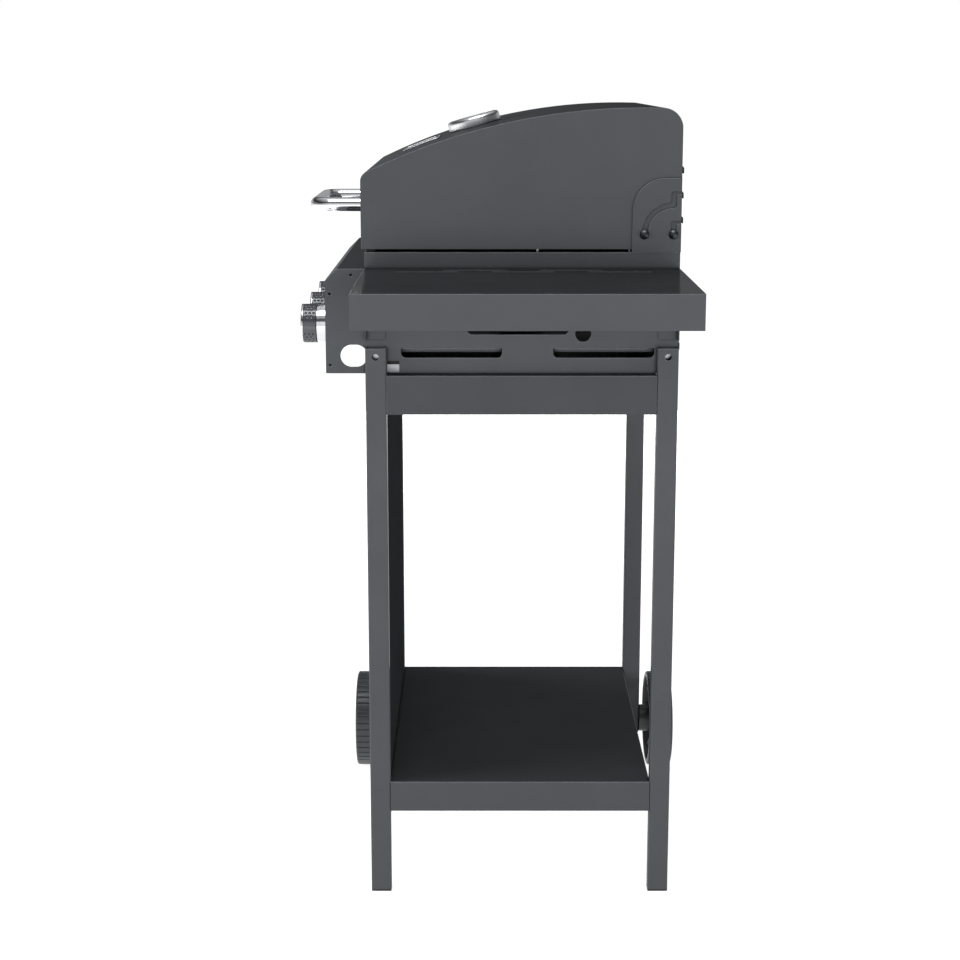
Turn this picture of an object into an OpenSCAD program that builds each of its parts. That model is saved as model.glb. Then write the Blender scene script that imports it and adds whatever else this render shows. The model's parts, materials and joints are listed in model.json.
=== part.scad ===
// Gas grill on a wheeled cart, in millimetres.
// +X is the grill's right-hand side, -Y its front, +Z up. The origin is on the floor, under the middle.

/* [Cart] */
// Width over the legs, left to right
cart_w = 520; // [480:1:640]
// Depth over the legs, front to back
cart_d = 410; // [390:1:480]
// Height of the firebox's bottom edge
body_z = 723; // [640:1:800]
// Width of a leg, front to back
leg_w = 27.5; // [22:0.5:36]
// Depth of a leg, left to right
leg_t = 20; // [17.5:0.5:30]
// Wall of a leg
leg_wall = 1.2; // [0.8:0.1:2]
// How far the legs climb the firebox's sides
leg_climb = 35; // [24:1:48]
// Height of the side aprons
apron_h = 52.5; // [35:0.5:80]
// Height of the bottom shelf's top
bottom_shelf_z = 160; // [120:1:300]
// Height of the bottom shelf's edge
bottom_shelf_edge = 42; // [20:1:60]
// Sheet metal of the whole grill
sheet = 1; // [0.8:0.1:1.5]

/* [Wheels] */
// Diameter of a wheel
wheel_d = 152; // [130:1:170]
// Width of a tyre
tyre_w = 37.5; // [26:0.5:50]
// Gap between a leg and the tyre
tyre_gap = 12; // [8:0.5:20]
// Diameter of a wheel's hub
hub_d = 43; // [34:1:56]
// Diameter of the axle
axle_d = 10; // [8:0.5:13]
// Ribs of a wheel
wheel_ribs = 12; // [6:1:16]

/* [Firebox] */
// How far the firebox's side panels lie inside the legs' outer faces
body_inset = 16; // [12:0.5:17]
// Height of the firebox
body_h = 159; // [150:1:200]
// Depth of the control box in front of the firebox
control_depth = 52; // [46:1:70]
// Height of the control box, and of the side shelves' tops above the firebox's bottom edge
control_h = 137.5; // [125:0.5:148]
// Bevel along the control box's top edge
control_bevel = 15.5; // [8:0.5:24]
// Width of the firebox's top rim
rim_w = 12; // [8:0.5:16]

/* [Vents and holes] */
// Length of a side louvre
louvre_l = 132.5; // [100:0.5:150]
// Height of a side louvre
louvre_h = 13.2; // [8:0.1:16]
// Depth of a side louvre's tab, folded in
louvre_depth = 12; // [6:0.5:13]
// Height between louvre rows
louvre_pitch = 30.6; // [22:0.1:36]
// Diameter of the match hole
match_hole_d = 20.6; // [14:0.1:26]
// Length of the oval hose hole
hose_hole_l = 35.2; // [26:0.1:38]
// Height of the oval hose hole
hose_hole_h = 29.1; // [20:0.1:32]
// Diameter of the small holes at the control box's ends
small_hole_d = 3.5; // [2.5:0.1:5]

/* [Side shelves] */
// Reach of a side shelf
side_shelf_w = 291; // [200:1:360]
// Height of a side shelf's edge
side_shelf_edge = 43; // [25:1:50]
// Length of a vent slot
slot_l = 81; // [50:1:100]
// Width of a vent slot
slot_w = 5; // [3:0.5:8]
// Spacing of the vent slots
slot_pitch = 124; // [105:1:130]

/* [Lid] */
// Gap between the firebox's rim and the lid
lid_gap = 4; // [3:0.5:8]
// Height of the lid's front, to where its wall meets the curved top
lid_front_h = 95.5; // [80:0.5:120]
// Radius of the lid's curved top
lid_top_r = 827; // [780:1:900]
// How far the highest line of the lid lies in front of its rear wall
lid_apex_inset = 50; // [30:1:80]
// Radius along the lid's front edge
lid_front_r = 13; // [6:0.5:20]
// Radius along the lid's rear edge
lid_rear_r = 26; // [15:0.5:29]
// How far the lid's front stands in front of the firebox
lid_front_lap = 4; // [2:0.5:8]
// How far the lid's rear stands behind the firebox
lid_rear_lap = 0.5; // [0.3:0.1:2]
// Louvres on the lid's rear wall
lid_louvres = 3; // [1:1:3]

/* [Handle] */
// Diameter of the handle's tube
handle_d = 19; // [14:0.5:24]
// Spacing of the handle's posts
handle_span = 200; // [140:1:400]
// How far the handle stands out from the lid
handle_reach = 78.5; // [60:0.5:90]
// Bend radius of the handle's tube, at its middle
handle_bend_r = 22; // [16:0.5:34]
// Height of the handle above the lid's bottom edge
handle_h = 48.5; // [35:0.5:60]

/* [Thermometer and plate] */
// Diameter of the thermometer
gauge_d = 74; // [60:1:80]
// Height of the thermometer
gauge_h = 14; // [11:0.5:18]
// Distance from the lid's front to the thermometer's middle
gauge_y = 148; // [142:1:170]
// Width of the plate on the lid
plate_w = 90; // [60:1:120]
// Length of the plate along the lid's slope
plate_l = 53.5; // [30:0.5:62]
// Thickness of the plate
plate_t = 2; // [1.5:0.1:3]
// Distance from the lid's front to the plate's middle
plate_y = 72.8; // [66:0.1:78]

/* [Hinge] */
// Distance from the lid's rear to the pivot
pivot_inset = 10; // [9:0.5:14]
// Height of the pivot above the lid's bottom edge
pivot_h = 19; // [17:0.5:24]
// Distance from the pivot to the guide screw
guide_r = 37.65; // [32:0.05:44]
// Diameter of the hinge screws' shoulders
hinge_screw_d = 7.2; // [5:0.1:8]
// Depth of a hinge bracket, front to back
bracket_d = 63.5; // [60:0.5:76]
// Height of a hinge bracket
bracket_h = 95.5; // [88:0.5:110]
// Radius of a hinge bracket's front corner
bracket_r = 42; // [20:1:50]
// Rise of the lift-off slots
lift_off = 14; // [10:0.5:18]

/* [Knobs and gas] */
// Spacing of the knobs and burners
knob_pitch = 146; // [130:1:150]
// Height of the knobs above the firebox's bottom edge
knob_h = 54; // [48:0.5:62]
// Diameter of a knob
knob_d = 53; // [40:0.5:58]
// How far a knob stands out from the panel
knob_reach = 41; // [36:0.5:50]
// Thickness of a knob's cap
knob_cap_t = 5; // [3:0.5:8]
// Width of a knob's grip band
grip_w = 17.6; // [10:0.1:20]
// Length of a bezel
bezel_l = 13.4; // [9:0.1:14]
// Travel of a knob when it is pushed
knob_push = 4; // [2:0.5:4.5]
// Diameter of a valve spindle
spindle_d = 7; // [5:0.5:9]
// Diameter of a burner tube
burner_d = 25; // [20:0.5:30]
// Diameter of the manifold
manifold_d = 16; // [13:0.5:18]
// Diameter of the gas inlet's thread
inlet_d = 13.2; // [10:0.1:16]

/* [Cooking] */
// Height of the cooking grates' tops above the firebox's bottom edge
grate_h = 145; // [138:1:152]
// Thickness of a cooking grate
grate_t = 12; // [9:0.5:14]
// Bars of a cooking grate
grate_bars = 13; // [8:1:15]
// Height of the warming rack above the firebox's bottom edge
rack_h = 232; // [205:1:250]
// Height of the flame tamers' ledges above the firebox's bottom edge
tamer_h = 83; // [78:1:92]
// Width of a flame tamer
tamer_w = 120; // [90:1:124]
// Rise of a flame tamer's ridge
tamer_rise = 22; // [14:0.5:28]
// Height of the drip tray
tray_h = 16; // [12:0.5:18]

/* [Hidden] */

// Overrun of every cut
cut = 1;
// Radial clearance of a running fit
run_gap = 0.05;
// Clearance of pieces seated on each other's curved faces
seat_gap = 0.1;
// Clearance between sheets and heads that move past each other
slide_gap = 0.3;
// Facets of small and large rounds
small_fn = 48;
round_fn = 96;
sweep_fn = 720;

paint = [0.19, 0.2, 0.21];
dark_paint = [0.1, 0.1, 0.11];
chrome = [0.82, 0.83, 0.85];
steel = [0.62, 0.63, 0.64];
zinc = [0.7, 0.71, 0.73];
brass = [0.75, 0.6, 0.3];
iron = [0.08, 0.08, 0.08];
plastic = [0.07, 0.07, 0.08];

// Main planes
leg_x = cart_w / 2;
leg_y = cart_d / 2;
leg_in_x = leg_x - leg_t;
leg_in_y = leg_y - leg_w;
side_x = leg_x - body_inset;
side_in_x = side_x - sheet;
body_over = 0.5;
wall_y = leg_y + body_over;
wall_in_y = wall_y - sheet;
panel_y = -wall_y - control_depth;
rim_z = body_z + body_h;
shelf_z = body_z + control_h;
knob_z = body_z + knob_h;
leg_mid_y = leg_y - leg_w / 2;

// The floor's middle lies under the middle between the knobs' fronts and the rear tyre
front_reach = knob_reach - panel_y;
rear_reach = leg_y + tyre_gap + tyre_w;
cart_y = (front_reach - rear_reach) / 2;
module at_cart() { translate([0, cart_y, 0]) children(); }

// Extrudes a Y-Z outline along X, centred
module along_x(w) { translate([-w / 2, 0, 0]) rotate([90, 0, 90]) linear_extrude(w) children(); }
// Extrudes a Y-Z outline along X, from x to x + w
module from_x(x, w) { translate([x, 0, 0]) rotate([90, 0, 90]) linear_extrude(w) children(); }
// Cylinder along X or Y from its first end
module rod_x(r, l) { rotate([0, 90, 0]) cylinder(r = r, h = l, $fn = small_fn); }
module rod_y(r, l) { rotate([-90, 0, 0]) cylinder(r = r, h = l, $fn = small_fn); }
// A copy on each side
module both_sides() { children(); mirror([1, 0, 0]) children(); }
// Rectangle with true round corners, from its low corner
module round_rect(w, h, r) {
    translate([r, 0]) square([w - 2 * r, h]);
    translate([0, r]) square([w, h - 2 * r]);
    for (x = [r, w - r], y = [r, h - r]) translate([x, y]) circle(r, $fn = small_fn);
}
// Slot with round ends along Y, centred
module stadium(w, l) {
    square([w, l - w], center = true);
    for (s = [-1, 1]) translate([0, s * (l - w) / 2]) circle(d = w, $fn = small_fn);
}
// Box between two corners
module block(a, b) { translate(a) cube(b - a); }

// Legs
leg_r = 2;
leg_hole_d = 8.8;
leg_hole_drop = 11.5;
axle_drop = 20;
axle_z = wheel_d / 2;
axle_x = -(leg_x - leg_t / 2);
plug_flange = 1.5;
leg_top_z = body_z + leg_climb;
bolt_z = leg_top_z - leg_hole_drop;

// A leg at +X and +Y, with its foot at foot_z
module leg(foot_z) {
    color(paint) difference() {
        translate([leg_in_x, leg_in_y, foot_z]) linear_extrude(leg_top_z - foot_z) difference() {
            round_rect(leg_t, leg_w, leg_r);
            translate([leg_wall, leg_wall]) square([leg_t - 2 * leg_wall, leg_w - 2 * leg_wall]);
        }
        block([leg_in_x - cut, leg_in_y - cut, body_z], [side_x, leg_y + cut, leg_top_z + cut]);
        translate([leg_x - leg_wall - cut, leg_mid_y, bolt_z]) rod_x(leg_hole_d / 2, leg_wall + 2 * cut);
    }
}
// A left leg at -X, with the axle's hole
module wheel_leg() {
    difference() {
        mirror([1, 0, 0]) leg(axle_z - axle_drop);
        translate([axle_x, leg_in_y - cut, axle_z]) rod_y(axle_d / 2 + seat_gap, leg_w + 2 * cut);
    }
}
module front_right_leg() { at_cart() mirror([0, 1, 0]) leg(plug_flange); }
module rear_right_leg() { at_cart() leg(plug_flange); }
module front_left_leg() { at_cart() mirror([0, 1, 0]) wheel_leg(); }
module rear_left_leg() { at_cart() wheel_leg(); }

plug_l = 12;
module leg_plug(foot_z) {
    translate([leg_in_x, leg_in_y, foot_z - plug_flange]) {
        linear_extrude(plug_flange) round_rect(leg_t, leg_w, leg_r);
        fit = leg_wall + seat_gap;
        translate([fit, fit, plug_flange - seat_gap])
            cube([leg_t - 2 * fit, leg_w - 2 * fit, min(plug_l, axle_drop - axle_d)]);
    }
}
module leg_plugs() {
    color(plastic) at_cart() for (s = [0, 1]) mirror([0, s, 0]) {
        leg_plug(plug_flange);
        mirror([1, 0, 0]) leg_plug(axle_z - axle_drop);
    }
}

// Cart sheets
panel_flange = 20;
panel_gap = 0.5;
panel_top_gap = 3;
apron_flange = 30;
apron_low_flange = 16;
apron_top_gap = 0.8;
crossbar_h = 26;
crossbar_flange = 14;
module bottom_shelf() {
    color(dark_paint) at_cart() difference() {
        block([-leg_x, -leg_in_y, bottom_shelf_z - bottom_shelf_edge], [leg_x, leg_in_y, bottom_shelf_z]);
        block([-leg_x + sheet, -leg_in_y + sheet, bottom_shelf_z - bottom_shelf_edge - cut],
              [leg_x - sheet, leg_in_y - sheet, bottom_shelf_z - sheet]);
    }
}
module front_panel() {
    low = bottom_shelf_z - bottom_shelf_edge;
    high = body_z - panel_top_gap;
    y = -leg_in_y - panel_gap;
    color(dark_paint) at_cart() {
        block([-leg_in_x, y - sheet, low], [leg_in_x, y, high]);
        both_sides() block([leg_in_x - sheet, y - panel_flange, low], [leg_in_x, y, high]);
    }
}
module side_aprons() {
    low = body_z - apron_h;
    high = body_z - apron_top_gap;
    y = leg_in_y - slide_gap;
    color(paint) at_cart() both_sides() {
        block([leg_x - sheet, -y, low], [leg_x, y, high]);
        block([leg_x - apron_flange, -y, high - sheet], [leg_x, y, high]);
        block([leg_x - apron_low_flange, -y, low], [leg_x, y, low + sheet]);
    }
}
module rear_crossbar() {
    low = body_z - apron_h;
    color(paint) at_cart() {
        block([-leg_in_x, leg_in_y, low], [leg_in_x, leg_in_y + sheet, low + crossbar_h]);
        block([-leg_in_x, leg_in_y, low + crossbar_h - sheet],
              [leg_in_x, leg_in_y + crossbar_flange, low + crossbar_h]);
    }
}

// Wheels
cap_t = 3;
cap_d = 20;
hub_recess = 6;
tread_t = 9;
web_t = 4;
shoulder = 5;
hub_r = hub_d / 2;
wheel_r = wheel_d / 2;
tyre_in_y = leg_y + tyre_gap;
axle_end_y = tyre_in_y + tyre_w - hub_recess + slide_gap + cap_t;
module wheel_axle() {
    color(zinc) at_cart() translate([axle_x, -axle_end_y, axle_z]) rod_y(axle_d / 2, 2 * axle_end_y);
}
module axle_caps() {
    color(zinc) at_cart() for (s = [0, 1]) mirror([0, s, 0]) translate([axle_x, axle_end_y, axle_z])
        rotate([90, 0, 0]) difference() {
            cylinder(d = cap_d, h = cap_t, $fn = small_fn);
            translate([0, 0, -cut]) cylinder(d = axle_d + 2 * run_gap, h = cap_t + 2 * cut, $fn = small_fn);
        }
}
// A wheel's section: radius against distance from its inner tyre face
module wheel_section() {
    bore = axle_d / 2 + run_gap;
    rim = wheel_r - tread_t;
    mid = tyre_w / 2;
    polygon([
        [bore, slide_gap - tyre_gap], [hub_r, slide_gap - tyre_gap], [hub_r, mid - web_t / 2],
        [rim, mid - web_t / 2], [rim, 0], [wheel_r - shoulder / 2, 0], [wheel_r, shoulder / 2],
        [wheel_r, tyre_w - shoulder], [wheel_r - shoulder, tyre_w], [rim, tyre_w],
        [rim, mid + web_t / 2], [hub_r, mid + web_t / 2], [hub_r, tyre_w - hub_recess],
        [bore, tyre_w - hub_recess]
    ]);
}
rib_t = 4;
module wheel() {
    color(plastic) translate([axle_x, tyre_in_y, axle_z]) rotate([-90, 0, 0]) {
        rotate_extrude($fn = round_fn) wheel_section();
        for (i = [0:wheel_ribs - 1]) rotate([0, 0, i * 360 / wheel_ribs])
            translate([hub_r - rib_t / 2, -rib_t / 2, shoulder])
                cube([wheel_r - tread_t - hub_r + rib_t, rib_t, tyre_w - 2 * shoulder]);
    }
}
module front_wheel() { at_cart() mirror([0, 1, 0]) wheel(); }
module rear_wheel() { at_cart() wheel(); }

// Side panels: firebox side and control box end in one stamping
corner_r = 3;
louvre_r = 6;
louvre_z = 20.7;
louvre_pair_y = 7.8;
louvre_side = 99.97;
louvre_top_y = -5;
match_y = 80.5;
match_z = 52;
tab_hole = [16, 14.7];
tab_hole_at = [-177, 2];
hose_y = 37;
hose_z = 23.5;
small_holes = [[34.4, 129.6], [6.1, 104.9], [5.7, 11.1]];
louvre_places = [[louvre_pair_y - louvre_side, louvre_z], [louvre_pair_y + louvre_side, louvre_z],
                 [louvre_top_y, louvre_z + louvre_pitch]];
module control_outline(inset) {
    lean = inset * (sqrt(2) - 1);
    polygon([
        [panel_y + inset, body_z - (inset > 0 ? cut : 0)],
        [panel_y + inset, shelf_z - control_bevel - lean],
        [panel_y + control_bevel + lean, shelf_z - inset],
        [-wall_y - inset, shelf_z - inset],
        [-wall_y - inset, body_z - (inset > 0 ? cut : 0)]
    ]);
}
module side_outline() {
    difference() {
        union() {
            control_outline(0);
            translate([-wall_y, body_z]) square([2 * wall_y, body_h]);
        }
        difference() {
            translate([panel_y - cut, body_z - cut]) square(corner_r + cut);
            translate([panel_y + corner_r, body_z + corner_r]) circle(corner_r, $fn = small_fn);
        }
    }
}
// Opening of a louvre: flat top, rounded lower corners
module louvre_hole() {
    translate([-louvre_l / 2, louvre_r]) square([louvre_l, louvre_h - louvre_r]);
    translate([-louvre_l / 2 + louvre_r, 0]) square([louvre_l - 2 * louvre_r, louvre_h]);
    for (s = [-1, 1]) translate([s * (louvre_l / 2 - louvre_r), louvre_r]) circle(louvre_r, $fn = small_fn);
}
module side_holes() {
    for (p = louvre_places) translate([p[0], body_z + p[1]]) louvre_hole();
    translate([match_y, body_z + match_z]) circle(d = match_hole_d, $fn = small_fn);
    translate([tab_hole_at[0], body_z + tab_hole_at[1]]) square(tab_hole);
    translate([panel_y + hose_y, body_z + hose_z]) rotate(90) stadium(hose_hole_h, hose_hole_l);
    for (p = small_holes) translate([panel_y + p[0], body_z + p[1]]) circle(d = small_hole_d, $fn = small_fn);
    for (s = [-1, 1]) translate([s * leg_mid_y, bolt_z]) circle(d = bolt_d + 2 * seat_gap, $fn = small_fn);
    for (s = [-1, 1]) translate([s * shelf_bolt_y, shelf_bolt_z])
        circle(d = bolt_d + 2 * seat_gap, $fn = small_fn);
}
// Tab of a louvre, folded straight in along the opening's top edge
module louvre_tab() {
    translate([-louvre_depth, -louvre_l / 2, louvre_h]) cube([louvre_depth + sheet, louvre_l, sheet]);
}
module side_panel() {
    color(paint) {
        from_x(side_in_x, sheet) difference() { side_outline(); side_holes(); }
        block([side_in_x - rim_w, -wall_in_y, rim_z - sheet], [side_x, wall_in_y, rim_z]);
        for (p = louvre_places) translate([side_in_x, p[0], body_z + p[1]]) louvre_tab();
    }
}
module right_side_panel() { at_cart() side_panel(); }
module left_side_panel() { at_cart() mirror([1, 0, 0]) side_panel(); }

// Firebox walls and control panel
tray_slot_over = 5;
burner_hole_gap = 0.4;
spindle_hole_r = 6;
rim_cut = side_in_x - rim_w;
tray_slot_z = body_z + tray_h + tray_slot_over;
module firebox_front_wall() {
    color(paint) at_cart() difference() {
        union() {
            block([-side_in_x, -wall_y, body_z], [side_in_x, -wall_in_y, rim_z]);
            block([-rim_cut, -wall_y, rim_z - sheet], [rim_cut, -wall_in_y + rim_w, rim_z]);
        }
        for (i = [-1:1]) translate([i * knob_pitch, -wall_y - cut, knob_z])
            rod_y(burner_d / 2 + burner_hole_gap, sheet + 2 * cut);
    }
}
module firebox_rear_wall() {
    color(paint) at_cart() {
        block([-side_in_x, wall_in_y, tray_slot_z], [side_in_x, wall_y, rim_z]);
        block([-rim_cut, wall_in_y - rim_w, rim_z - sheet], [rim_cut, wall_y, rim_z]);
    }
}
control_flange = 14;
control_lip = 5;
module control_panel() {
    color(paint) at_cart() difference() {
        union() {
            along_x(2 * side_in_x) difference() {
                control_outline(0);
                control_outline(sheet);
                translate([-wall_y - sheet - cut, body_z - cut])
                    square([sheet + 2 * cut, control_h - control_flange + cut]);
            }
            block([-side_in_x, panel_y, body_z], [side_in_x, panel_y + control_lip, body_z + sheet]);
        }
        for (i = [-1:1]) translate([i * knob_pitch, panel_y - cut, knob_z]) rod_y(spindle_hole_r, sheet + 2 * cut);
    }
}

// Side shelves
inner_row_x = 17;
outer_row_x = 39;
slot_rows = [[inner_row_x, [-slot_pitch / 2, slot_pitch / 2]], [outer_row_x, [-slot_pitch, 0, slot_pitch]]];
tab_w = 26;
tab_drop = 49.5;
gusset_l = 18;
side_shelf_over = 0.5;
shelf_y = wall_y + side_shelf_over;
shelf_bolt_y = 190;
shelf_bolt_z = shelf_z - side_shelf_edge - tab_drop / 2;
module side_shelf() {
    far = side_x + side_shelf_w;
    color(paint) difference() {
        block([side_x, -shelf_y, shelf_z - side_shelf_edge], [far, shelf_y, shelf_z]);
        block([side_x - cut, -shelf_y + sheet, shelf_z - side_shelf_edge - cut],
              [far - sheet, shelf_y - sheet, shelf_z - sheet]);
        for (row = slot_rows, y = row[1])
            translate([side_x + row[0], y, shelf_z - sheet - cut])
                linear_extrude(sheet + 2 * cut) stadium(slot_w, slot_l);
    }
}
module right_side_shelf() { at_cart() side_shelf(); }
module left_side_shelf() { at_cart() mirror([1, 0, 0]) side_shelf(); }
// Angle brackets that carry the side shelves: a plate on the panel and a gusset inside the shelf's edge
module shelf_brackets() {
    low = shelf_z - side_shelf_edge - tab_drop;
    y = shelf_y - sheet;
    color(paint) at_cart() both_sides() for (s = [0, 1]) mirror([0, s, 0]) difference() {
        union() {
            block([side_x, y - tab_w, low], [side_x + sheet, y, shelf_z - sheet]);
            block([side_x, y - sheet, low], [side_x + gusset_l, y, shelf_z - sheet]);
        }
        translate([side_x - cut, shelf_bolt_y, shelf_bolt_z]) rod_x(bolt_d / 2 + seat_gap, sheet + 2 * cut);
    }
}

// Hexagon-socket bolts of the cart, their heads outside the panel
bolt_d = 6;
bolt_head_d = 10;
bolt_head_h = 3.5;
bolt_socket_d = 4.6;
bolt_l = 12;
nut_t = 4;
// Bolt along -X with its head's seat at x = 0, and its nut under the given grip
module bolt(grip) {
    difference() {
        rod_x(bolt_head_d / 2, bolt_head_h);
        translate([bolt_head_h / 2, 0, 0]) rotate([0, 90, 0]) cylinder(d = bolt_socket_d, h = bolt_head_h, $fn = 6);
    }
    translate([-bolt_l, 0, 0]) rod_x(bolt_d / 2, bolt_l + bolt_head_h / 2);
    translate([-grip - nut_t, 0, 0]) rotate([0, 90, 0]) cylinder(d = bolt_head_d, h = nut_t, $fn = 6);
}
module cart_bolts() {
    color(zinc) at_cart() both_sides() for (s = [-1, 1]) {
        translate([side_x, s * leg_mid_y, bolt_z]) bolt(sheet);
        translate([side_x + sheet, s * shelf_bolt_y, shelf_bolt_z]) bolt(2 * sheet);
    }
}

// Lid outline, in the Y-Z plane
lid_z = rim_z + lid_gap;
lid_front_y = -wall_y - lid_front_lap;
lid_rear_y = wall_y + lid_rear_lap;
apex_y = lid_rear_y - lid_apex_inset;
top_centre = [apex_y, lid_z + lid_front_h - sqrt(pow(lid_top_r, 2) - pow(apex_y - lid_front_y, 2))];
// Centre of an edge round of radius r whose wall is at y, and the point where it meets the top
function round_y(y, r) = y < apex_y ? y + r : y - r;
function round_centre(y, r, big) =
    [round_y(y, r), top_centre[1] + sqrt(pow(big - r, 2) - pow(round_y(y, r) - apex_y, 2))];
// The wedge between a round's centre, its wall and the line through the point where it meets the top
module round_wedge(y, r, big) {
    c = round_centre(y, r, big);
    tip = c + (c - top_centre) * (r + cut) / norm(c - top_centre);
    out = y < apex_y ? y - cut : y + cut;
    polygon([c, [out, c[1]], [out, tip[1]], tip]);
}
module lid_outline(inset) {
    big = lid_top_r - inset;
    low = lid_z - (inset > 0 ? cut : 0);
    rounds = [[lid_front_y + inset, lid_front_r - inset], [lid_rear_y - inset, lid_rear_r - inset]];
    difference() {
        intersection() {
            translate([rounds[0][0], low]) square([rounds[1][0] - rounds[0][0], lid_top_r]);
            translate(top_centre) circle(big, $fn = sweep_fn);
        }
        for (q = rounds) round_wedge(q[0], q[1], big);
    }
    for (q = rounds) intersection() {
        translate(round_centre(q[0], q[1], big)) circle(q[1], $fn = round_fn);
        round_wedge(q[0], q[1], big);
    }
}
// Moves to the lid's top at a distance from its front, with +Z along the outward normal
module on_lid(from_front) {
    y = lid_front_y + from_front;
    lean = asin((apex_y - y) / lid_top_r);
    translate([0, top_centre[0], top_centre[1]]) rotate([lean, 0, 0]) translate([0, 0, lid_top_r]) children();
}
lid_louvre_h = 10;
lid_louvre_out = 2.6;
lid_louvre_z = 33;
lid_louvre_pitch = 32;
lid_louvre_margin = 1.5;
lid_hole_gap = 0.4;
gauge_stem_d = 6;
handle_screw_d = 6;
handle_z = lid_z + handle_h;
module lid_shell() {
    hood = [[-sheet, lid_louvre_h], [0, lid_louvre_h], [lid_louvre_out, lid_louvre_h - lid_louvre_out],
            [lid_louvre_out, 0], [lid_louvre_out - sheet, 0],
            [lid_louvre_out - sheet, lid_louvre_h - lid_louvre_out - sheet],
            [-sheet, lid_louvre_h - lid_louvre_out - sheet]];
    color(paint) at_cart() {
        difference() {
            along_x(2 * side_in_x) difference() { lid_outline(0); lid_outline(sheet); }
            for (i = [0:lid_louvres - 1])
                block([-side_in_x + 2 * lid_louvre_margin, lid_rear_y - sheet - cut, lid_z + lid_louvre_z
                       + i * lid_louvre_pitch],
                      [side_in_x - 2 * lid_louvre_margin, lid_rear_y + cut, lid_z + lid_louvre_z
                       + i * lid_louvre_pitch + lid_louvre_h - lid_louvre_out - sheet]);
            for (s = [-1, 1]) translate([s * handle_span / 2, lid_front_y - cut, handle_z])
                rod_y(handle_screw_d / 2 + lid_hole_gap, sheet + 2 * cut);
            on_lid(gauge_y) translate([0, 0, -2 * sheet - cut])
                cylinder(r = gauge_stem_d / 2 + lid_hole_gap, h = 2 * sheet + 2 * cut, $fn = small_fn);
        }
        for (i = [0:lid_louvres - 1])
            translate([0, lid_rear_y, lid_z + lid_louvre_z + i * lid_louvre_pitch])
                along_x(2 * (side_in_x - lid_louvre_margin)) polygon(hood);
    }
}

// Hinge: the lid's screws run in slots of the two brackets
pivot_y = lid_rear_y - pivot_inset;
pivot_z = lid_z + pivot_h;
guide_y = pivot_y - guide_r;
slot_r = hinge_screw_d / 2 + run_gap;
lid_end_hole_r = hinge_screw_d / 2 + seat_gap;
module lid_end() {
    color(paint) from_x(side_in_x, sheet) difference() {
        lid_outline(0);
        for (y = [pivot_y, guide_y]) translate([y, pivot_z]) circle(lid_end_hole_r, $fn = small_fn);
    }
}
module right_lid_end() { at_cart() lid_end(); }
module left_lid_end() { at_cart() mirror([1, 0, 0]) lid_end(); }

bracket_x = side_x + slide_gap;
bracket_t = 1.2;
foot_l = 14;
bracket_foot_t = 1.2;
// Slot that rises from a point and leaves through the bracket's rear edge
module lift_slot(z) {
    translate([pivot_y, z]) {
        circle(slot_r, $fn = small_fn);
        translate([-slot_r, 0]) square([2 * slot_r, lift_off]);
        translate([0, lift_off]) circle(slot_r, $fn = small_fn);
        translate([0, lift_off]) square([bracket_d, slot_r]);
        translate([slot_r - cut, lift_off]) square([bracket_d, slot_r]);
    }
}
module bracket_outline() {
    front = lid_rear_y - bracket_d;
    high = rim_z + bracket_h;
    translate([front + bracket_r, rim_z]) square([bracket_d - bracket_r, bracket_h]);
    translate([front, rim_z]) square([bracket_d, bracket_h - bracket_r]);
    intersection() {
        translate([front + bracket_r, high - bracket_r]) circle(bracket_r, $fn = round_fn);
        translate([front, rim_z]) square([bracket_d, bracket_h]);
    }
}
module bracket_slots() {
    translate([pivot_y, pivot_z]) {
        translate([-guide_r, 0]) circle(slot_r, $fn = small_fn);
        intersection() {
            difference() {
                circle(guide_r + slot_r, $fn = round_fn);
                circle(guide_r - slot_r, $fn = round_fn);
            }
            translate([-2 * guide_r, 0]) square([2 * guide_r, 2 * guide_r]);
        }
    }
    lift_slot(pivot_z);
    lift_slot(pivot_z + guide_r);
}
module hinge_brackets() {
    color(paint) at_cart() both_sides() {
        from_x(bracket_x, bracket_t) difference() { bracket_outline(); bracket_slots(); }
        block([bracket_x - foot_l, lid_rear_y - bracket_d, rim_z],
              [bracket_x + bracket_t, lid_rear_y - lid_rear_lap, rim_z + bracket_foot_t]);
    }
}
head_d = 12.4;
head_h = 3.6;
hinge_nut_d = 12;
hinge_nut_t = 4.5;
shank_end = 6;
// Domed head on +Z, its seat at z = 0
module domed_head(d, h) {
    dome_r = (pow(d / 2, 2) + pow(h, 2)) / (2 * h);
    intersection() {
        translate([0, 0, h - dome_r]) sphere(dome_r, $fn = round_fn);
        cylinder(d = d, h = h, $fn = small_fn);
    }
}
module lid_screws() {
    seat = bracket_x + bracket_t + slide_gap;
    low = side_in_x - shank_end;
    color(zinc) at_cart() {
        both_sides() for (y = [pivot_y, guide_y]) translate([0, y, pivot_z]) rotate([0, 90, 0]) {
            translate([0, 0, seat]) domed_head(head_d, head_h);
            translate([0, 0, low]) cylinder(d = hinge_screw_d, h = seat - low + head_h / 2, $fn = small_fn);
        }
        for (s = [-1, 1]) translate([s * handle_span / 2, lid_front_y + sheet, handle_z]) rotate([-90, 0, 0]) {
            domed_head(head_d, head_h);
            translate([0, 0, -sheet - handle_plug_l / 2])
                cylinder(d = handle_screw_d, h = sheet + handle_plug_l / 2 + head_h / 2, $fn = small_fn);
        }
    }
}
gauge_nut_d = 14;
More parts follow.
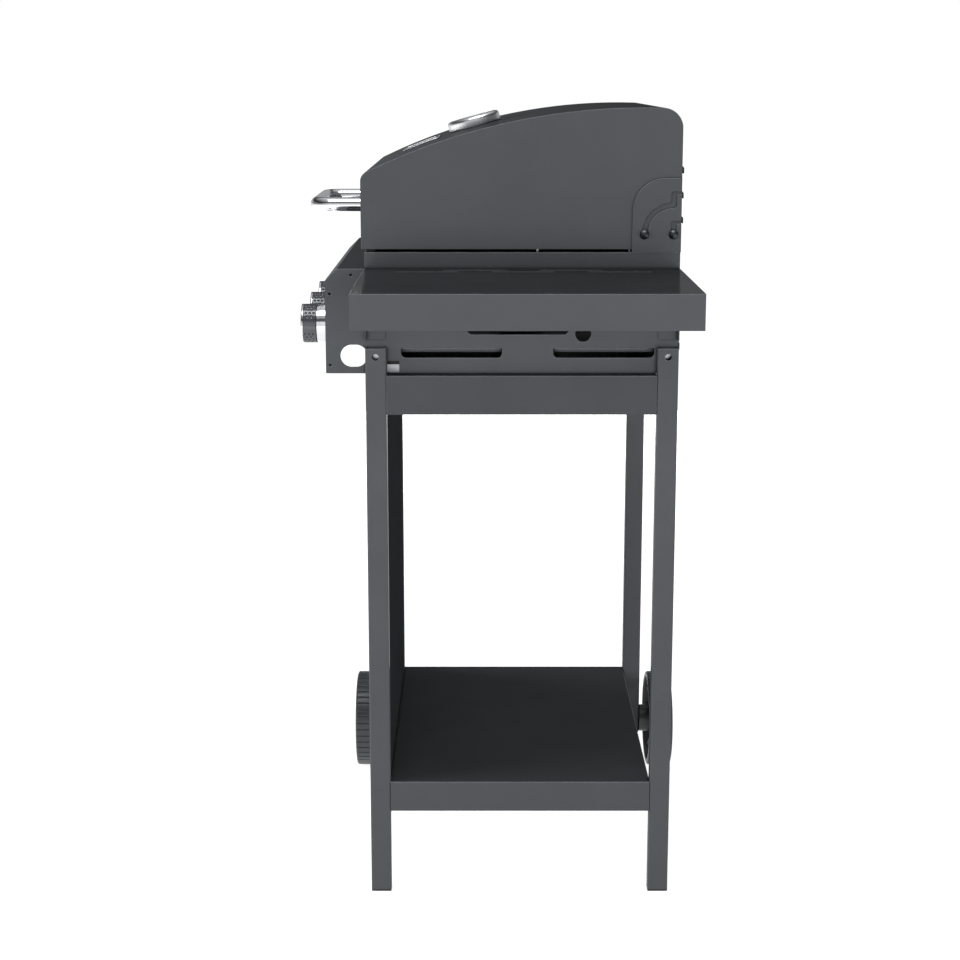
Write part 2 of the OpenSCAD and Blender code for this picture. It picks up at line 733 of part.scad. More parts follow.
module lid_nuts() {
    color(zinc) at_cart() {
        both_sides() for (y = [pivot_y, guide_y])
            translate([side_in_x - hinge_nut_t, y, pivot_z]) rotate([0, 90, 0]) difference() {
                cylinder(d = hinge_nut_d, h = hinge_nut_t, $fn = 6);
                translate([0, 0, -cut]) cylinder(d = hinge_screw_d + 2 * run_gap, h = hinge_nut_t + 2 * cut,
                                                 $fn = small_fn);
            }
        on_lid(gauge_y) translate([0, 0, -sheet - seat_gap - hinge_nut_t]) difference() {
            cylinder(d = gauge_nut_d, h = hinge_nut_t, $fn = 6);
            translate([0, 0, -cut]) cylinder(d = gauge_stem_d + 2 * run_gap, h = hinge_nut_t + 2 * cut,
                                             $fn = small_fn);
        }
    }
}

// Handle
handle_wall = 1.5;
handle_plug_l = 16;
module handle_solid(r, post) {
    bar = handle_span / 2 - handle_bend_r;
    y = -handle_reach + handle_d / 2;
    translate([-bar, y, 0]) rod_x(r, 2 * bar);
    for (s = [0, 1]) mirror([s, 0, 0]) {
        translate([bar, y + handle_bend_r, 0]) rotate([0, 0, -90])
            rotate_extrude(angle = 90, $fn = round_fn) translate([handle_bend_r, 0]) circle(r, $fn = small_fn);
        translate([handle_span / 2, y + handle_bend_r, 0]) rod_y(r, -y - handle_bend_r - post);
    }
}
module lid_handle() {
    color(chrome) at_cart() translate([0, lid_front_y, handle_z]) difference() {
        handle_solid(handle_d / 2, 0);
        handle_solid(handle_d / 2 - handle_wall, handle_plug_l);
        for (s = [-1, 1]) translate([s * handle_span / 2, -handle_plug_l - cut, 0])
            rod_y(handle_screw_d / 2 + run_gap, handle_plug_l + 2 * cut);
    }
}

// Plate on the lid: a rimmed sheet that follows the lid's curve, left bare
plate_r = 6;
plate_rim = 3.5;
plate_floor = 1;
module plate_blank(w, l, r, high) {
    translate([-w / 2, -l / 2, -high]) linear_extrude(2 * high) round_rect(w, l, r);
}
module lid_top_drum(out) {
    translate([-lid_top_r, top_centre[0], top_centre[1]])
        rotate([0, 90, 0]) cylinder(r = lid_top_r + out, h = 2 * lid_top_r, $fn = sweep_fn);
}
module name_plate() {
    color(chrome) at_cart() difference() {
        intersection() {
            lid_top_drum(plate_t);
            on_lid(plate_y) plate_blank(plate_w, plate_l, plate_r, 3 * plate_t);
        }
        lid_top_drum(seat_gap);
        difference() {
            on_lid(plate_y) plate_blank(plate_w - 2 * plate_rim, plate_l - 2 * plate_rim,
                                        plate_r - plate_rim / 2, 3 * plate_t);
            lid_top_drum(plate_floor);
        }
    }
}

// Thermometer
gauge_wall = 1.5;
gauge_r = gauge_d / 2;
gauge_edge_r = 5;
dial_z = 7;
dial_t = 0.8;
glass_t = 2;
needle_t = 0.6;
needle_w = 2.4;
needle_hub_d = 8;
glass_z = gauge_h - glass_t - 1;
spindle_r = 1;
stem_l = 45;
module gauge_housing() {
    color(chrome) at_cart() on_lid(gauge_y) difference() {
        union() {
            translate([0, 0, seat_gap]) cylinder(r = gauge_r, h = gauge_h - gauge_edge_r - seat_gap, $fn = round_fn);
            cylinder(r = gauge_r - gauge_edge_r, h = gauge_h, $fn = round_fn);
            translate([0, 0, gauge_h - gauge_edge_r]) rotate_extrude($fn = round_fn)
                translate([gauge_r - gauge_edge_r, 0]) circle(gauge_edge_r, $fn = small_fn);
        }
        translate([0, 0, -cut]) cylinder(r = gauge_r - gauge_edge_r, h = seat_gap + cut, $fn = round_fn);
        translate([0, 0, gauge_wall]) cylinder(r = gauge_r - gauge_wall, h = glass_z - gauge_wall, $fn = round_fn);
        translate([0, 0, gauge_wall]) cylinder(r = gauge_r - gauge_edge_r, h = gauge_h, $fn = round_fn);
    }
    color(steel) at_cart() on_lid(gauge_y) translate([0, 0, -stem_l])
        cylinder(d = gauge_stem_d, h = stem_l + dial_z, $fn = small_fn);
}
module gauge_dial() {
    color("white") at_cart() on_lid(gauge_y) translate([0, 0, dial_z])
        difference() {
            cylinder(r = gauge_r - gauge_wall - seat_gap, h = dial_t, $fn = round_fn);
            translate([0, 0, -cut]) cylinder(r = spindle_r + lid_hole_gap, h = dial_t + 2 * cut, $fn = small_fn);
        }
}
// The needle points to the cold end, 135 degrees round from the dial's top
needle_rest = 225;
needle_l = gauge_r - gauge_edge_r - 4 * needle_t;
module gauge_needle() {
    color("red") at_cart() on_lid(gauge_y) translate([0, 0, dial_z + dial_t + slide_gap]) {
        cylinder(d = needle_hub_d, h = 2 * needle_t, $fn = small_fn);
        rotate([0, 0, needle_rest]) linear_extrude(needle_t)
            polygon([[0, -needle_w / 2], [needle_l, 0], [0, needle_w / 2], [-needle_l / 4, needle_w / 2],
                     [-needle_l / 4, -needle_w / 2]]);
    }
}
module gauge_glass() {
    color([0.8, 0.9, 0.95, 0.4]) at_cart() on_lid(gauge_y) translate([0, 0, glass_z])
        cylinder(r = gauge_r - gauge_edge_r - seat_gap, h = glass_t, $fn = round_fn);
}

// Knobs: drawn with +Z out of the panel
bezel_wall = 0.7;
skirt_gap = 0.3;
skirt_lap = 2;
cap_rise = 2;
knob_wall = 1.5;
knob_hub_r = 8;
bezel_inset = 0.5;
bezel_r = knob_d / 2 - bezel_inset;
bezel_base_t = 1;
bezel_hole_r = 12;
skirt_r = bezel_r - bezel_wall - skirt_gap;
grip_z = knob_reach - knob_cap_t - grip_w;
grip_seat_r = skirt_r - knob_wall;
module at_knob(i) { at_cart() translate([i * knob_pitch, panel_y, knob_z]) rotate([90, 0, 0]) children(); }
// Spindle section: round with one flat
module spindle_section(r) {
    difference() {
        circle(r, $fn = small_fn);
        translate([r * 2 / 3, -2 * r]) square(4 * r);
    }
}
spindle_in = 28;
spindle_out = 30;
module knob(i) {
    cap_r = knob_d / 2;
    dome_r = (pow(cap_r, 2) + pow(cap_rise, 2)) / (2 * cap_rise);
    low = bezel_l - skirt_lap;
    hollow_top = knob_reach - knob_cap_t - knob_wall;
    color(chrome) at_knob(i) difference() {
        union() {
            translate([0, 0, low]) cylinder(r = skirt_r, h = grip_z - low, $fn = round_fn);
            translate([0, 0, low]) cylinder(r = grip_seat_r, h = knob_reach - knob_cap_t / 2 - low, $fn = round_fn);
            intersection() {
                translate([0, 0, grip_z + grip_w]) cylinder(r = cap_r, h = knob_cap_t, $fn = round_fn);
                translate([0, 0, knob_reach - dome_r]) sphere(dome_r, $fn = sweep_fn);
            }
        }
        difference() {
            translate([0, 0, low - cut]) cylinder(r = grip_seat_r - knob_wall, h = hollow_top - low + cut,
                                                  $fn = round_fn);
            cylinder(r = knob_hub_r, h = knob_reach, $fn = small_fn);
        }
        translate([0, 0, -cut]) linear_extrude(spindle_out + cut) spindle_section(spindle_d / 2 + run_gap);
    }
}
module knob_grip(i) {
    color(plastic) at_knob(i) translate([0, 0, grip_z]) difference() {
        cylinder(r = knob_d / 2 - seat_gap, h = grip_w, $fn = round_fn);
        translate([0, 0, -cut]) cylinder(r = grip_seat_r + run_gap, h = grip_w + 2 * cut, $fn = round_fn);
    }
}
module spindle(i) {
    color(steel) at_knob(i) translate([0, 0, -spindle_in]) linear_extrude(spindle_in + spindle_out)
        spindle_section(spindle_d / 2);
}
module left_knob() { knob(-1); }
module middle_knob() { knob(0); }
module right_knob() { knob(1); }
module left_knob_grip() { knob_grip(-1); }
module middle_knob_grip() { knob_grip(0); }
module right_knob_grip() { knob_grip(1); }
module left_spindle() { spindle(-1); }
module middle_spindle() { spindle(0); }
module right_spindle() { spindle(1); }
module knob_bezels() {
    color(chrome) for (i = [-1:1]) at_knob(i) rotate_extrude($fn = round_fn) {
        translate([bezel_r - bezel_wall, 0]) square([bezel_wall, bezel_l]);
        translate([bezel_hole_r, 0]) square([bezel_r - bezel_hole_r, bezel_base_t]);
    }
}

// Valves, drawn as the knobs are, behind the panel
valve_l = 36;
valve_r = 9;
valve_flange_r = 12;
valve_flange_t = 3;
plug_r = 5.5;
plug_base = 3;
plug_in = spindle_in + knob_push + plug_base;
nozzle_r = 4;
nozzle_l = 9;
jet_r = 0.6;
inlet_r = 6;
manifold_rise = 23;
manifold_z = knob_h + manifold_rise;
manifold_y = 29.5;
module gas_valves() {
    color(brass) for (i = [-1:1]) difference() {
        at_knob(i) difference() {
            union() {
                translate([0, 0, -sheet - valve_l]) cylinder(r = valve_r, h = valve_l, $fn = small_fn);
                translate([0, 0, -sheet - valve_flange_t]) cylinder(r = valve_flange_r, h = valve_flange_t,
                                                                   $fn = small_fn);
                translate([0, 0, -sheet - valve_l - nozzle_l]) cylinder(r = nozzle_r, h = nozzle_l + cut,
                                                                      $fn = small_fn);
                translate([0, 0, -manifold_y]) rotate([-90, 0, 0])
                    cylinder(r = inlet_r, h = manifold_z - knob_h, $fn = small_fn);
            }
            translate([0, 0, -plug_in - sheet]) cylinder(r = plug_r + run_gap, h = plug_in + sheet, $fn = small_fn);
            translate([0, 0, -sheet - valve_l - nozzle_l - cut]) cylinder(r = jet_r, h = valve_l, $fn = small_fn);
        }
        at_cart() manifold_solid(manifold_d / 2 + seat_gap, 0);
    }
}
module valve_plug(i) {
    color(steel) at_knob(i) translate([0, 0, -plug_in - sheet / 2]) difference() {
        cylinder(r = plug_r, h = plug_in - sheet, $fn = small_fn);
        translate([0, 0, sheet]) linear_extrude(plug_in) spindle_section(spindle_d / 2 + run_gap);
    }
}
module left_valve_plug() { valve_plug(-1); }
module middle_valve_plug() { valve_plug(0); }
module right_valve_plug() { valve_plug(1); }

// Manifold behind the panel, above the valves, with its inlet at the left-hand end
manifold_end = 36;
manifold_gap = 20;
manifold_left = -side_in_x + manifold_gap;
manifold_wall = 1.5;
block_l = 14;
block_d = 22;
inlet_l = 18;
block_flat = block_d / 2 * cos(180 / 6);
inlet_collar_d = 18;
inlet_collar_t = 2;
module manifold_solid(r, wall) {
    translate([manifold_left + wall, panel_y + manifold_y, body_z + manifold_z])
        rod_x(r, knob_pitch + manifold_end - manifold_left - 2 * wall);
}
module gas_manifold() {
    color(steel) at_cart() difference() {
        manifold_solid(manifold_d / 2, 0);
        manifold_solid(manifold_d / 2 - manifold_wall, manifold_wall);
    }
}
module gas_inlet() {
    color(brass) at_cart() translate([manifold_left - block_l, panel_y + manifold_y, body_z + manifold_z]) {
        difference() {
            rotate([0, 90, 0]) rotate(180 / 6) cylinder(d = block_d, h = block_l, $fn = 6);
            translate([block_l / 2, 0, 0]) rod_x(manifold_d / 4, block_l);
        }
        translate([block_l / 2, 0, -block_flat - inlet_collar_t - inlet_l]) difference() {
            union() {
                cylinder(d = inlet_d, h = inlet_l + block_d / 4, $fn = small_fn);
                translate([0, 0, inlet_l]) cylinder(d = inlet_collar_d, h = 2 * inlet_collar_t, $fn = small_fn);
            }
            translate([0, 0, -cut]) cylinder(d = inlet_d / 2, h = inlet_l, $fn = small_fn);
        }
    }
}

// Burners
burner_wall = 1;
burner_lap = 8;
burner_front_y = -wall_y - burner_lap;
burner_end_gap = 14;
burner_slots = 16;
burner_slot_w = 1.2;
burner_slot_start = 62.5;
burner_slot_rise = 6;
module burner(i) {
    l = wall_in_y - burner_end_gap - burner_front_y;
    bar = (l - 2 * burner_slot_start + burner_d) / (burner_slots - 1);
    color(steel) at_cart() translate([i * knob_pitch, burner_front_y, knob_z]) difference() {
        rod_y(burner_d / 2, l);
        translate([0, -cut, 0]) rod_y(burner_d / 2 - burner_wall, l - burner_wall + cut);
        for (k = [0:burner_slots - 1]) translate([-burner_d, burner_slot_start + k * bar, burner_slot_rise])
            cube([2 * burner_d, burner_slot_w, burner_d]);
    }
}
module left_burner() { burner(-1); }
module middle_burner() { burner(0); }
module right_burner() { burner(1); }

// Flame tamers: bent sheets over the burners, resting on the walls' ledges
ledge_w = 14;
tamer_end_gap = 1;
module flame_tamers() {
    half = tamer_w / 2;
    z = body_z + tamer_h;
    color(steel) at_cart() for (i = [-1:1])
        translate([i * knob_pitch, wall_in_y - tamer_end_gap, z]) rotate([90, 0, 0])
            linear_extrude(2 * (wall_in_y - tamer_end_gap))
                polygon([[-half, 0], [-half, 2 * sheet], [0, tamer_rise + sheet], [half, 2 * sheet], [half, 0],
                         [half - sheet, 0], [0, tamer_rise - sheet], [sheet - half, 0]]);
}
// Angle ledges on the front and rear walls
module ledge(z, drop) {
    block([-side_in_x, wall_in_y - ledge_w, z - sheet], [side_in_x, wall_in_y, z]);
    block([-side_in_x, wall_in_y - sheet, z - drop], [side_in_x, wall_in_y, z]);
}
burner_rest_z = knob_z - burner_d / 2 - seat_gap;
module support_ledges() {
    color(paint) at_cart() {
        for (s = [0, 1], z = [body_z + tamer_h, body_z + grate_h - grate_t]) mirror([0, s, 0]) ledge(z, ledge_w / 2);
        translate([0, -burner_end_gap, 0]) {
            block([-side_in_x, wall_in_y - ledge_w, burner_rest_z - sheet], [side_in_x, wall_in_y + burner_end_gap,
                   burner_rest_z]);
        }
    }
}

// Cooking grates
grate_gap = 2;
grate_frame = 8;
grate_bar_w = 6;
grate_drop = 2;
grate_side_gap = 1.5;
module cooking_grate() {
    y = wall_in_y - grate_side_gap;
    x0 = grate_gap / 2;
    x1 = side_in_x - grate_side_gap;
    low = body_z + grate_h - grate_t;
    high = body_z + grate_h;
    pitch = (x1 - x0 - grate_frame) / (grate_bars + 1);
    color(iron) {
        difference() {
            block([x0, -y, low], [x1, y, high]);
            block([x0 + grate_frame, -y + grate_frame, low - cut], [x1 - grate_frame, y - grate_frame, high + cut]);
        }
        for (k = [1:grate_bars])
            translate([x0 + grate_frame / 2 + k * pitch - grate_bar_w / 2, -y + grate_frame / 2, low + grate_drop])
                cube([grate_bar_w, 2 * y - grate_frame, grate_t - grate_drop]);
        block([x0 + grate_frame / 2, -grate_bar_w / 2, low],
              [x1 - grate_frame / 2, grate_bar_w / 2, high - grate_drop]);
    }
}
module right_cooking_grate() { at_cart() cooking_grate(); }
module left_cooking_grate() { at_cart() mirror([1, 0, 0]) cooking_grate(); }

// Warming rack of round wire, standing on the rim
wire_r = 2;
rack_side_x = side_in_x - 9;
rack_front_y = 20;
rack_d = 120;
rack_wires = 9;
module warming_rack() {
    z = body_z + rack_h;
    pitch = (rack_d - 4 * wire_r) / (rack_wires - 1);
    color(chrome) at_cart() {
        both_sides() {
            translate([rack_side_x, rack_front_y, z]) rod_y(wire_r, rack_d);
            for (y = [rack_front_y, rack_front_y + rack_d]) translate([rack_side_x, y, rim_z]) {
                cylinder(r = wire_r, h = z - rim_z, $fn = small_fn);
                translate([0, 0, z - rim_z]) sphere(wire_r, $fn = small_fn);
            }
        }
        for (k = [0:rack_wires - 1])
            translate([-rack_side_x, rack_front_y + 2 * wire_r + k * pitch, z]) rod_x(wire_r, 2 * rack_side_x);
    }
}

// Drip tray on two rails, sliding out to the rear
rail_w = 12;
rail_h = 11.5;
rail_low = 0.6;
tray_side_gap = 0.8;
tray_rear_gap = 1;
pull_l = 18;
pull_w = 160;
pull_drop = 10;
tray_z = body_z + rail_low + sheet + slide_gap;
module tray_rails() {
    z = body_z + rail_low;
    color(zinc) at_cart() both_sides() {
        block([side_in_x - sheet, -wall_in_y, z], [side_in_x, wall_y, z + rail_h]);
        block([side_in_x - rail_w, -wall_in_y, z], [side_in_x, wall_y, z + sheet]);
    }
}
module drip_tray() {
    x = side_in_x - sheet - tray_side_gap;
    y = wall_y + tray_rear_gap;
    color(steel) at_cart() {
        difference() {
            block([-x, -wall_in_y + tray_rear_gap, tray_z], [x, y, tray_z + tray_h]);
            block([-x + sheet, -wall_in_y + tray_rear_gap + sheet, tray_z + sheet], [x - sheet, y - sheet,
                   tray_z + tray_h + cut]);
        }
        block([-pull_w / 2, y - sheet, tray_z + tray_h - sheet], [pull_w / 2, y + pull_l, tray_z + tray_h]);
        block([-pull_w / 2, y + pull_l - sheet, tray_z + tray_h - pull_drop],
              [pull_w / 2, y + pull_l, tray_z + tray_h]);
    }
}

front_right_leg();
rear_right_leg();
front_left_leg();
rear_left_leg();
leg_plugs();
bottom_shelf();
front_panel();
side_aprons();
rear_crossbar();
wheel_axle();
axle_caps();
front_wheel();
rear_wheel();
right_side_panel();
left_side_panel();
firebox_front_wall();
firebox_rear_wall();
control_panel();
right_side_shelf();
left_side_shelf();
shelf_brackets();
hinge_brackets();
cart_bolts();
gas_manifold();
gas_inlet();
gas_valves();
left_valve_plug();
middle_valve_plug();
right_valve_plug();
left_spindle();
middle_spindle();
right_spindle();
left_knob();
middle_knob();
right_knob();
left_knob_grip();
middle_knob_grip();
right_knob_grip();
knob_bezels();
left_burner();
middle_burner();
right_burner();
flame_tamers();
support_ledges();
left_cooking_grate();
right_cooking_grate();
warming_rack();
tray_rails();
drip_tray();
lid_shell();
right_lid_end();
left_lid_end();
lid_handle();
name_plate();
gauge_housing();
gauge_dial();
gauge_needle();
gauge_glass();
lid_screws();
lid_nuts();
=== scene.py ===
"""Looks of a gas grill on a wheeled cart: finishes for its CAD solids, and detailed surfaces
that stand for some of them or add to them.

Lengths are in metres in the CAD's frame: +X is the grill's right-hand side, -Y its front, +Z up.
"""

import json
import math

import bmesh
import bpy
import numpy as np
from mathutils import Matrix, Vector


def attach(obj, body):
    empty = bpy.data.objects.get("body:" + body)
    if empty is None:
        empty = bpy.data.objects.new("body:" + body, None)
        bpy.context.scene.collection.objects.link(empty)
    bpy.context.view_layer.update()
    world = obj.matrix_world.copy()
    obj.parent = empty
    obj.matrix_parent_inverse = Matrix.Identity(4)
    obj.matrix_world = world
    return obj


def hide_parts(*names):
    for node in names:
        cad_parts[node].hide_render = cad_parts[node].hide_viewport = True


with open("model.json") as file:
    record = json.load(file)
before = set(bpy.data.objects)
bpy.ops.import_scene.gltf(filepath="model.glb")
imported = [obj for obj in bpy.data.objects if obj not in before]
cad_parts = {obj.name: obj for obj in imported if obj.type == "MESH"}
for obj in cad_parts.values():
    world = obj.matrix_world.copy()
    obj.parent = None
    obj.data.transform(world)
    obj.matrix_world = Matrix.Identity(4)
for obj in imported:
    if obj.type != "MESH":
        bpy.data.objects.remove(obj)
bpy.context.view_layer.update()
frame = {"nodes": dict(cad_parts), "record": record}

# Sizes that the solids have too. Places along Y are measured from the middle of the cart's depth
CART_Y = 0.022
SIDE_X, BODY_Z = 0.244, 0.723
PANEL_Y, KNOB_PITCH, KNOB_Z = -0.2575, 0.146, 0.777
LID_Z, LID_FRONT_Y, LID_FRONT_H = 0.886, -0.2095, 0.0955
LID_TOP_R, APEX_Y = 0.827, 0.156
TOP_CENTRE_Z = LID_Z + LID_FRONT_H - math.sqrt(LID_TOP_R**2 - (APEX_Y - LID_FRONT_Y) ** 2)


# Meshes

SAME_POINT, NO_LENGTH = 2e-6, 1e-7


def make_piece(name, shapes, body, finish, stands_for=(), smooth=True):
    """One piece from shapes, each a pair of points and faces in their place. It rides on a body
    and may stand for CAD nodes."""
    points, faces, start = [], [], 0
    for shape_points, shape_faces in shapes:
        points.append(np.asarray(shape_points, float))
        faces += [[start + k for k in face] for face in shape_faces]
        start += len(shape_points)
    mesh = bpy.data.meshes.new(name)
    mesh.from_pydata(np.concatenate(points).tolist(), [], faces)
    mesh.validate()
    piece = bpy.data.objects.new(name, mesh)
    bpy.context.scene.collection.objects.link(piece)
    weld(piece)
    mesh.polygons.foreach_set("use_smooth", [smooth] * len(mesh.polygons))
    mesh.materials.append(finish)
    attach(piece, body)
    if stands_for:
        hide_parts(*stands_for)


def weld(piece):
    """Merges points that lie in one place, and turns the faces outwards."""
    shape = bmesh.new()
    shape.from_mesh(piece.data)
    bmesh.ops.remove_doubles(shape, verts=shape.verts, dist=SAME_POINT)
    bmesh.ops.dissolve_degenerate(shape, edges=shape.edges, dist=NO_LENGTH)
    bmesh.ops.recalc_face_normals(shape, faces=shape.faces)
    shape.to_mesh(piece.data)
    shape.free()
    piece.data.update()


def grid_faces(rows, columns, wrap_rows=False, wrap_columns=False):
    """Quads of a grid of points stored row by row. A wrapped side joins its last line to its
    first."""
    row = np.arange(rows if wrap_rows else rows - 1)[:, None]
    column = np.arange(columns if wrap_columns else columns - 1)[None, :]
    low, high = row * columns, (row + 1) % rows * columns
    after = (column + 1) % columns
    return np.stack([low + column, low + after, high + after, high + column], -1).reshape(-1, 4)


def turned(profile, steps, warp=None):
    """A profile of (radius, height) turned about Z: point = (r cos a, r sin a, h), where
    warp(r, h, a) may give another r. steps is a count, or the angles themselves in radians."""
    profile = np.asarray(profile, float)
    if np.ndim(steps):
        angle = np.asarray(steps, float)[:, None]
    else:
        angle = np.linspace(0, 2 * math.pi, steps, endpoint=False)[:, None]
    radius, height = np.broadcast_arrays(profile[None, :, 0], profile[None, :, 1])
    radius, height = radius + 0 * angle, height + 0 * angle
    if warp:
        radius = warp(radius, height, angle + 0 * radius)
    return np.stack([radius * np.cos(angle), radius * np.sin(angle), height], -1)


def lathe(profile, steps, place, warp=None, closed=False):
    """Points and faces of a turned shape. place carries its points from the turning frame to
    their place, and a closed profile joins its last point to its first."""
    points = turned(profile, steps, warp)
    faces = grid_faces(len(points), len(profile), wrap_rows=True, wrap_columns=closed)
    return place(points.reshape(-1, 3)), faces.tolist()


def arc(centre, radius, start, end, steps):
    """Points on a circle's arc from one angle to another, in degrees."""
    a = np.radians(np.linspace(start, end, steps))
    return [(centre[0] + radius * math.cos(t), centre[1] + radius * math.sin(t)) for t in a]


def rounded(corners, radii, steps=5):
    """A line through corners with each inner corner C rounded, from A to B on its sides, both at
    the given radius from C: (1 - t)^2 A + 2 t (1 - t) C + t^2 B. A radius of 0 keeps it sharp."""
    corners = np.asarray(corners, float)
    line = [corners[0]]
    for before, corner, after, r in zip(corners[:-2], corners[1:-1], corners[2:], radii):
        if r <= 0:
            line.append(corner)
            continue
        start, end = [corner + side / np.linalg.norm(side) * min(r, np.linalg.norm(side) / 2)
                      for side in (before - corner, after - corner)]
        t = np.linspace(0, 1, steps)[:, None]
        line.extend((1 - t) ** 2 * start + 2 * t * (1 - t) * corner + t**2 * end)
    line.append(corners[-1])
    return np.array(line)


def tube(path, radius, steps):
    """A round tube along a path. Each ring lies across the path, turned as little as it can be
    from the ring before, and discs close the ends."""
    path = np.asarray(path, float)
    along = np.gradient(path, axis=0)
    along /= np.linalg.norm(along, axis=1)[:, None]
    side = np.cross(along[0], [0, 0, 1.0])
    rings = []
    angle = np.linspace(0, 2 * math.pi, steps, endpoint=False)[:, None]
    for point, direction in zip(path, along):
        side = side - direction * (side @ direction)
        side /= np.linalg.norm(side)
        up = np.cross(side, direction)
        rings.append(point + radius * (np.cos(angle) * side + np.sin(angle) * up))
    points = np.concatenate(rings)
    faces = grid_faces(len(path), steps, wrap_columns=True).tolist()
    faces += [list(range(steps)), list(range(len(points) - steps, len(points)))]
    return points, faces


# Finishes

WHITE = (1, 1, 1, 1)
FLOAT, VECTOR = "NodeSocketFloat", "NodeSocketVector"
NOISE_LOW, NOISE_HIGH = 0.3, 0.7  # most of a noise texture lies between them
# The second is how far the ambient occlusion reaches that paints shade where faces meet
EDGE_SAMPLES, PAINTED_SHADE_REACH = 6, 0.005


def linear(*srgb):
    """Linear colour of sRGB values from 0 to 255."""
    c = np.array(srgb, float) / 255
    c = np.where(c <= 0.04045, c / 12.92, ((c + 0.055) / 1.055) ** 2.4)
    return tuple(float(v) for v in c) + (1.0,)


def shade(colour, factor):
    """A colour times a factor."""
    return tuple(c * factor for c in colour[:3]) + (1.0,)


class Nodes:
    """Short calls that build one node tree."""

    def __init__(self, tree):
        self.tree = tree

    def add(self, kind, feeds=None, **settings):
        """A node with its settings. feeds gives a value or another node's output to sockets."""
        node = self.tree.nodes.new(kind)
        for key, value in settings.items():
            setattr(node, key, value)
        for key, value in (feeds or {}).items():
            self.feed(node.inputs[key], value)
        return node

    def feed(self, socket, value):
        """Links an output to a socket, or sets the socket's value."""
        if isinstance(value, bpy.types.NodeSocket):
            self.tree.links.new(value, socket)
        else:
            socket.default_value = value

    def calculate(self, operation, a, b=0.0, clamp=False):
        """The result of a mathematical operation on two values."""
        node = self.add("ShaderNodeMath", {0: a, 1: b}, operation=operation, use_clamp=clamp)
        return node.outputs[0]

    def blend(self, factor, a, b):
        """A colour between a and b."""
        node = self.add("ShaderNodeMix", data_type="RGBA")
        for index, value in ((0, factor), (6, a), (7, b)):
            self.feed(node.inputs[index], value)
        return node.outputs[2]

    def spread(self, value, low, high, to_low, to_high):
        """A value carried from the range low to high to the range to_low to to_high."""
        return self.add("ShaderNodeMapRange", {
            "Value": value, "From Min": low, "From Max": high,
            "To Min": to_low, "To Max": to_high}).outputs[0]

    def noise(self, place, scale, detail):
        """Noise with a number of waves per unit of place."""
        feeds = {"Vector": place, "Scale": scale, "Detail": detail}
        return self.add("ShaderNodeTexNoise", feeds).outputs["Fac"]

    def bump(self, height, normal, strength, distance):
        """A normal tilted by the slope of a height."""
        feeds = {"Height": height, "Normal": normal, "Strength": strength, "Distance": distance}
        return self.add("ShaderNodeBump", feeds).outputs[0]

    def effect(self, group, **feeds):
        """Outputs of an effect. An underscore in an input's name stands for a space."""
        node = self.tree.nodes.new("ShaderNodeGroup")
        node.node_tree = group
        for key, value in feeds.items():
            self.feed(node.inputs[key.replace("_", " ")], value)
        return node.outputs


def effect_group(name, inputs, outputs):
    """An empty effect with named inputs and outputs: the group, its nodes, what it is given and
    what it puts out."""
    group = bpy.data.node_groups.new(name, "ShaderNodeTree")
    for label, kind in inputs.items():
        group.interface.new_socket(label, in_out="INPUT", socket_type=kind)
    for label, kind in outputs.items():
        group.interface.new_socket(label, in_out="OUTPUT", socket_type=kind)
    nodes = Nodes(group)
    given, out = nodes.add("NodeGroupInput").outputs, nodes.add("NodeGroupOutput").inputs
    return group, nodes, given, out


def make_grain():
    """Fine grain: noise of the given size for the bump, and broad patches for the tone."""
    group, n, given, out = effect_group(
        "fine_grain", {"Size": FLOAT, "Patch Size": FLOAT}, {"Height": FLOAT, "Patch": FLOAT})
    place = n.add("ShaderNodeTexCoord").outputs["Object"]
    n.feed(out["Height"], n.noise(place, n.calculate("DIVIDE", 1.0, given["Size"]), 2.0))
    broad = n.noise(place, n.calculate("DIVIDE", 1.0, given["Patch Size"]), 4.0)
    n.feed(out["Patch"], n.spread(broad, NOISE_LOW, NOISE_HIGH, 0.0, 1.0))
    return group


def make_edges():
    """Sharp edges that look rounded: the normal of a small round; a mask of edge wear that is
    strongest on edges that look up, so that it also paints the highlight that light from above
    would give them; and painted shade, an ambient occlusion value that is 0 where faces meet."""
    group, n, given, out = effect_group(
        "worn_edges_and_highlight", {"Radius": FLOAT, "Amount": FLOAT},
        {"Mask": FLOAT, "Normal": VECTOR, "Painted AO": FLOAT})
    place = n.add("ShaderNodeTexCoord").outputs["Object"]
    flat = n.add("ShaderNodeNewGeometry").outputs["Normal"]
    bent = n.add("ShaderNodeBevel", {"Radius": given["Radius"]}, samples=EDGE_SAMPLES).outputs[0]
    same = n.add("ShaderNodeVectorMath", {0: bent, 1: flat}, operation="DOT_PRODUCT")
    away = n.calculate("SUBTRACT", 1.0, same.outputs["Value"], clamp=True)
    # Edges that look up get more of the mask: partly rub wear, partly a painted highlight of light
    # from above
    up = n.spread(n.add("ShaderNodeSeparateXYZ", {0: bent}).outputs["Z"], 0.15, 0.6, 0.04, 1.0)
    uneven = n.spread(n.noise(place, 90.0, 3.0), 0.35, 0.65, 0.6, 1.0)
    rub_and_highlight = n.calculate("MULTIPLY", n.calculate("MULTIPLY", away, given["Amount"]), uneven)
    n.feed(out["Mask"], n.calculate("MULTIPLY", rub_and_highlight, up, clamp=True))
    n.feed(out["Normal"], bent)
    # Painted shade: ambient occlusion within 5 mm, 0 where faces meet and 1 in the open
    open_sky = n.add("ShaderNodeAmbientOcclusion", {"Distance": PAINTED_SHADE_REACH},
                     samples=EDGE_SAMPLES).outputs["AO"]
    n.feed(out["Painted AO"], n.spread(open_sky, 0.45, 0.92, 0.0, 1.0))
    return group


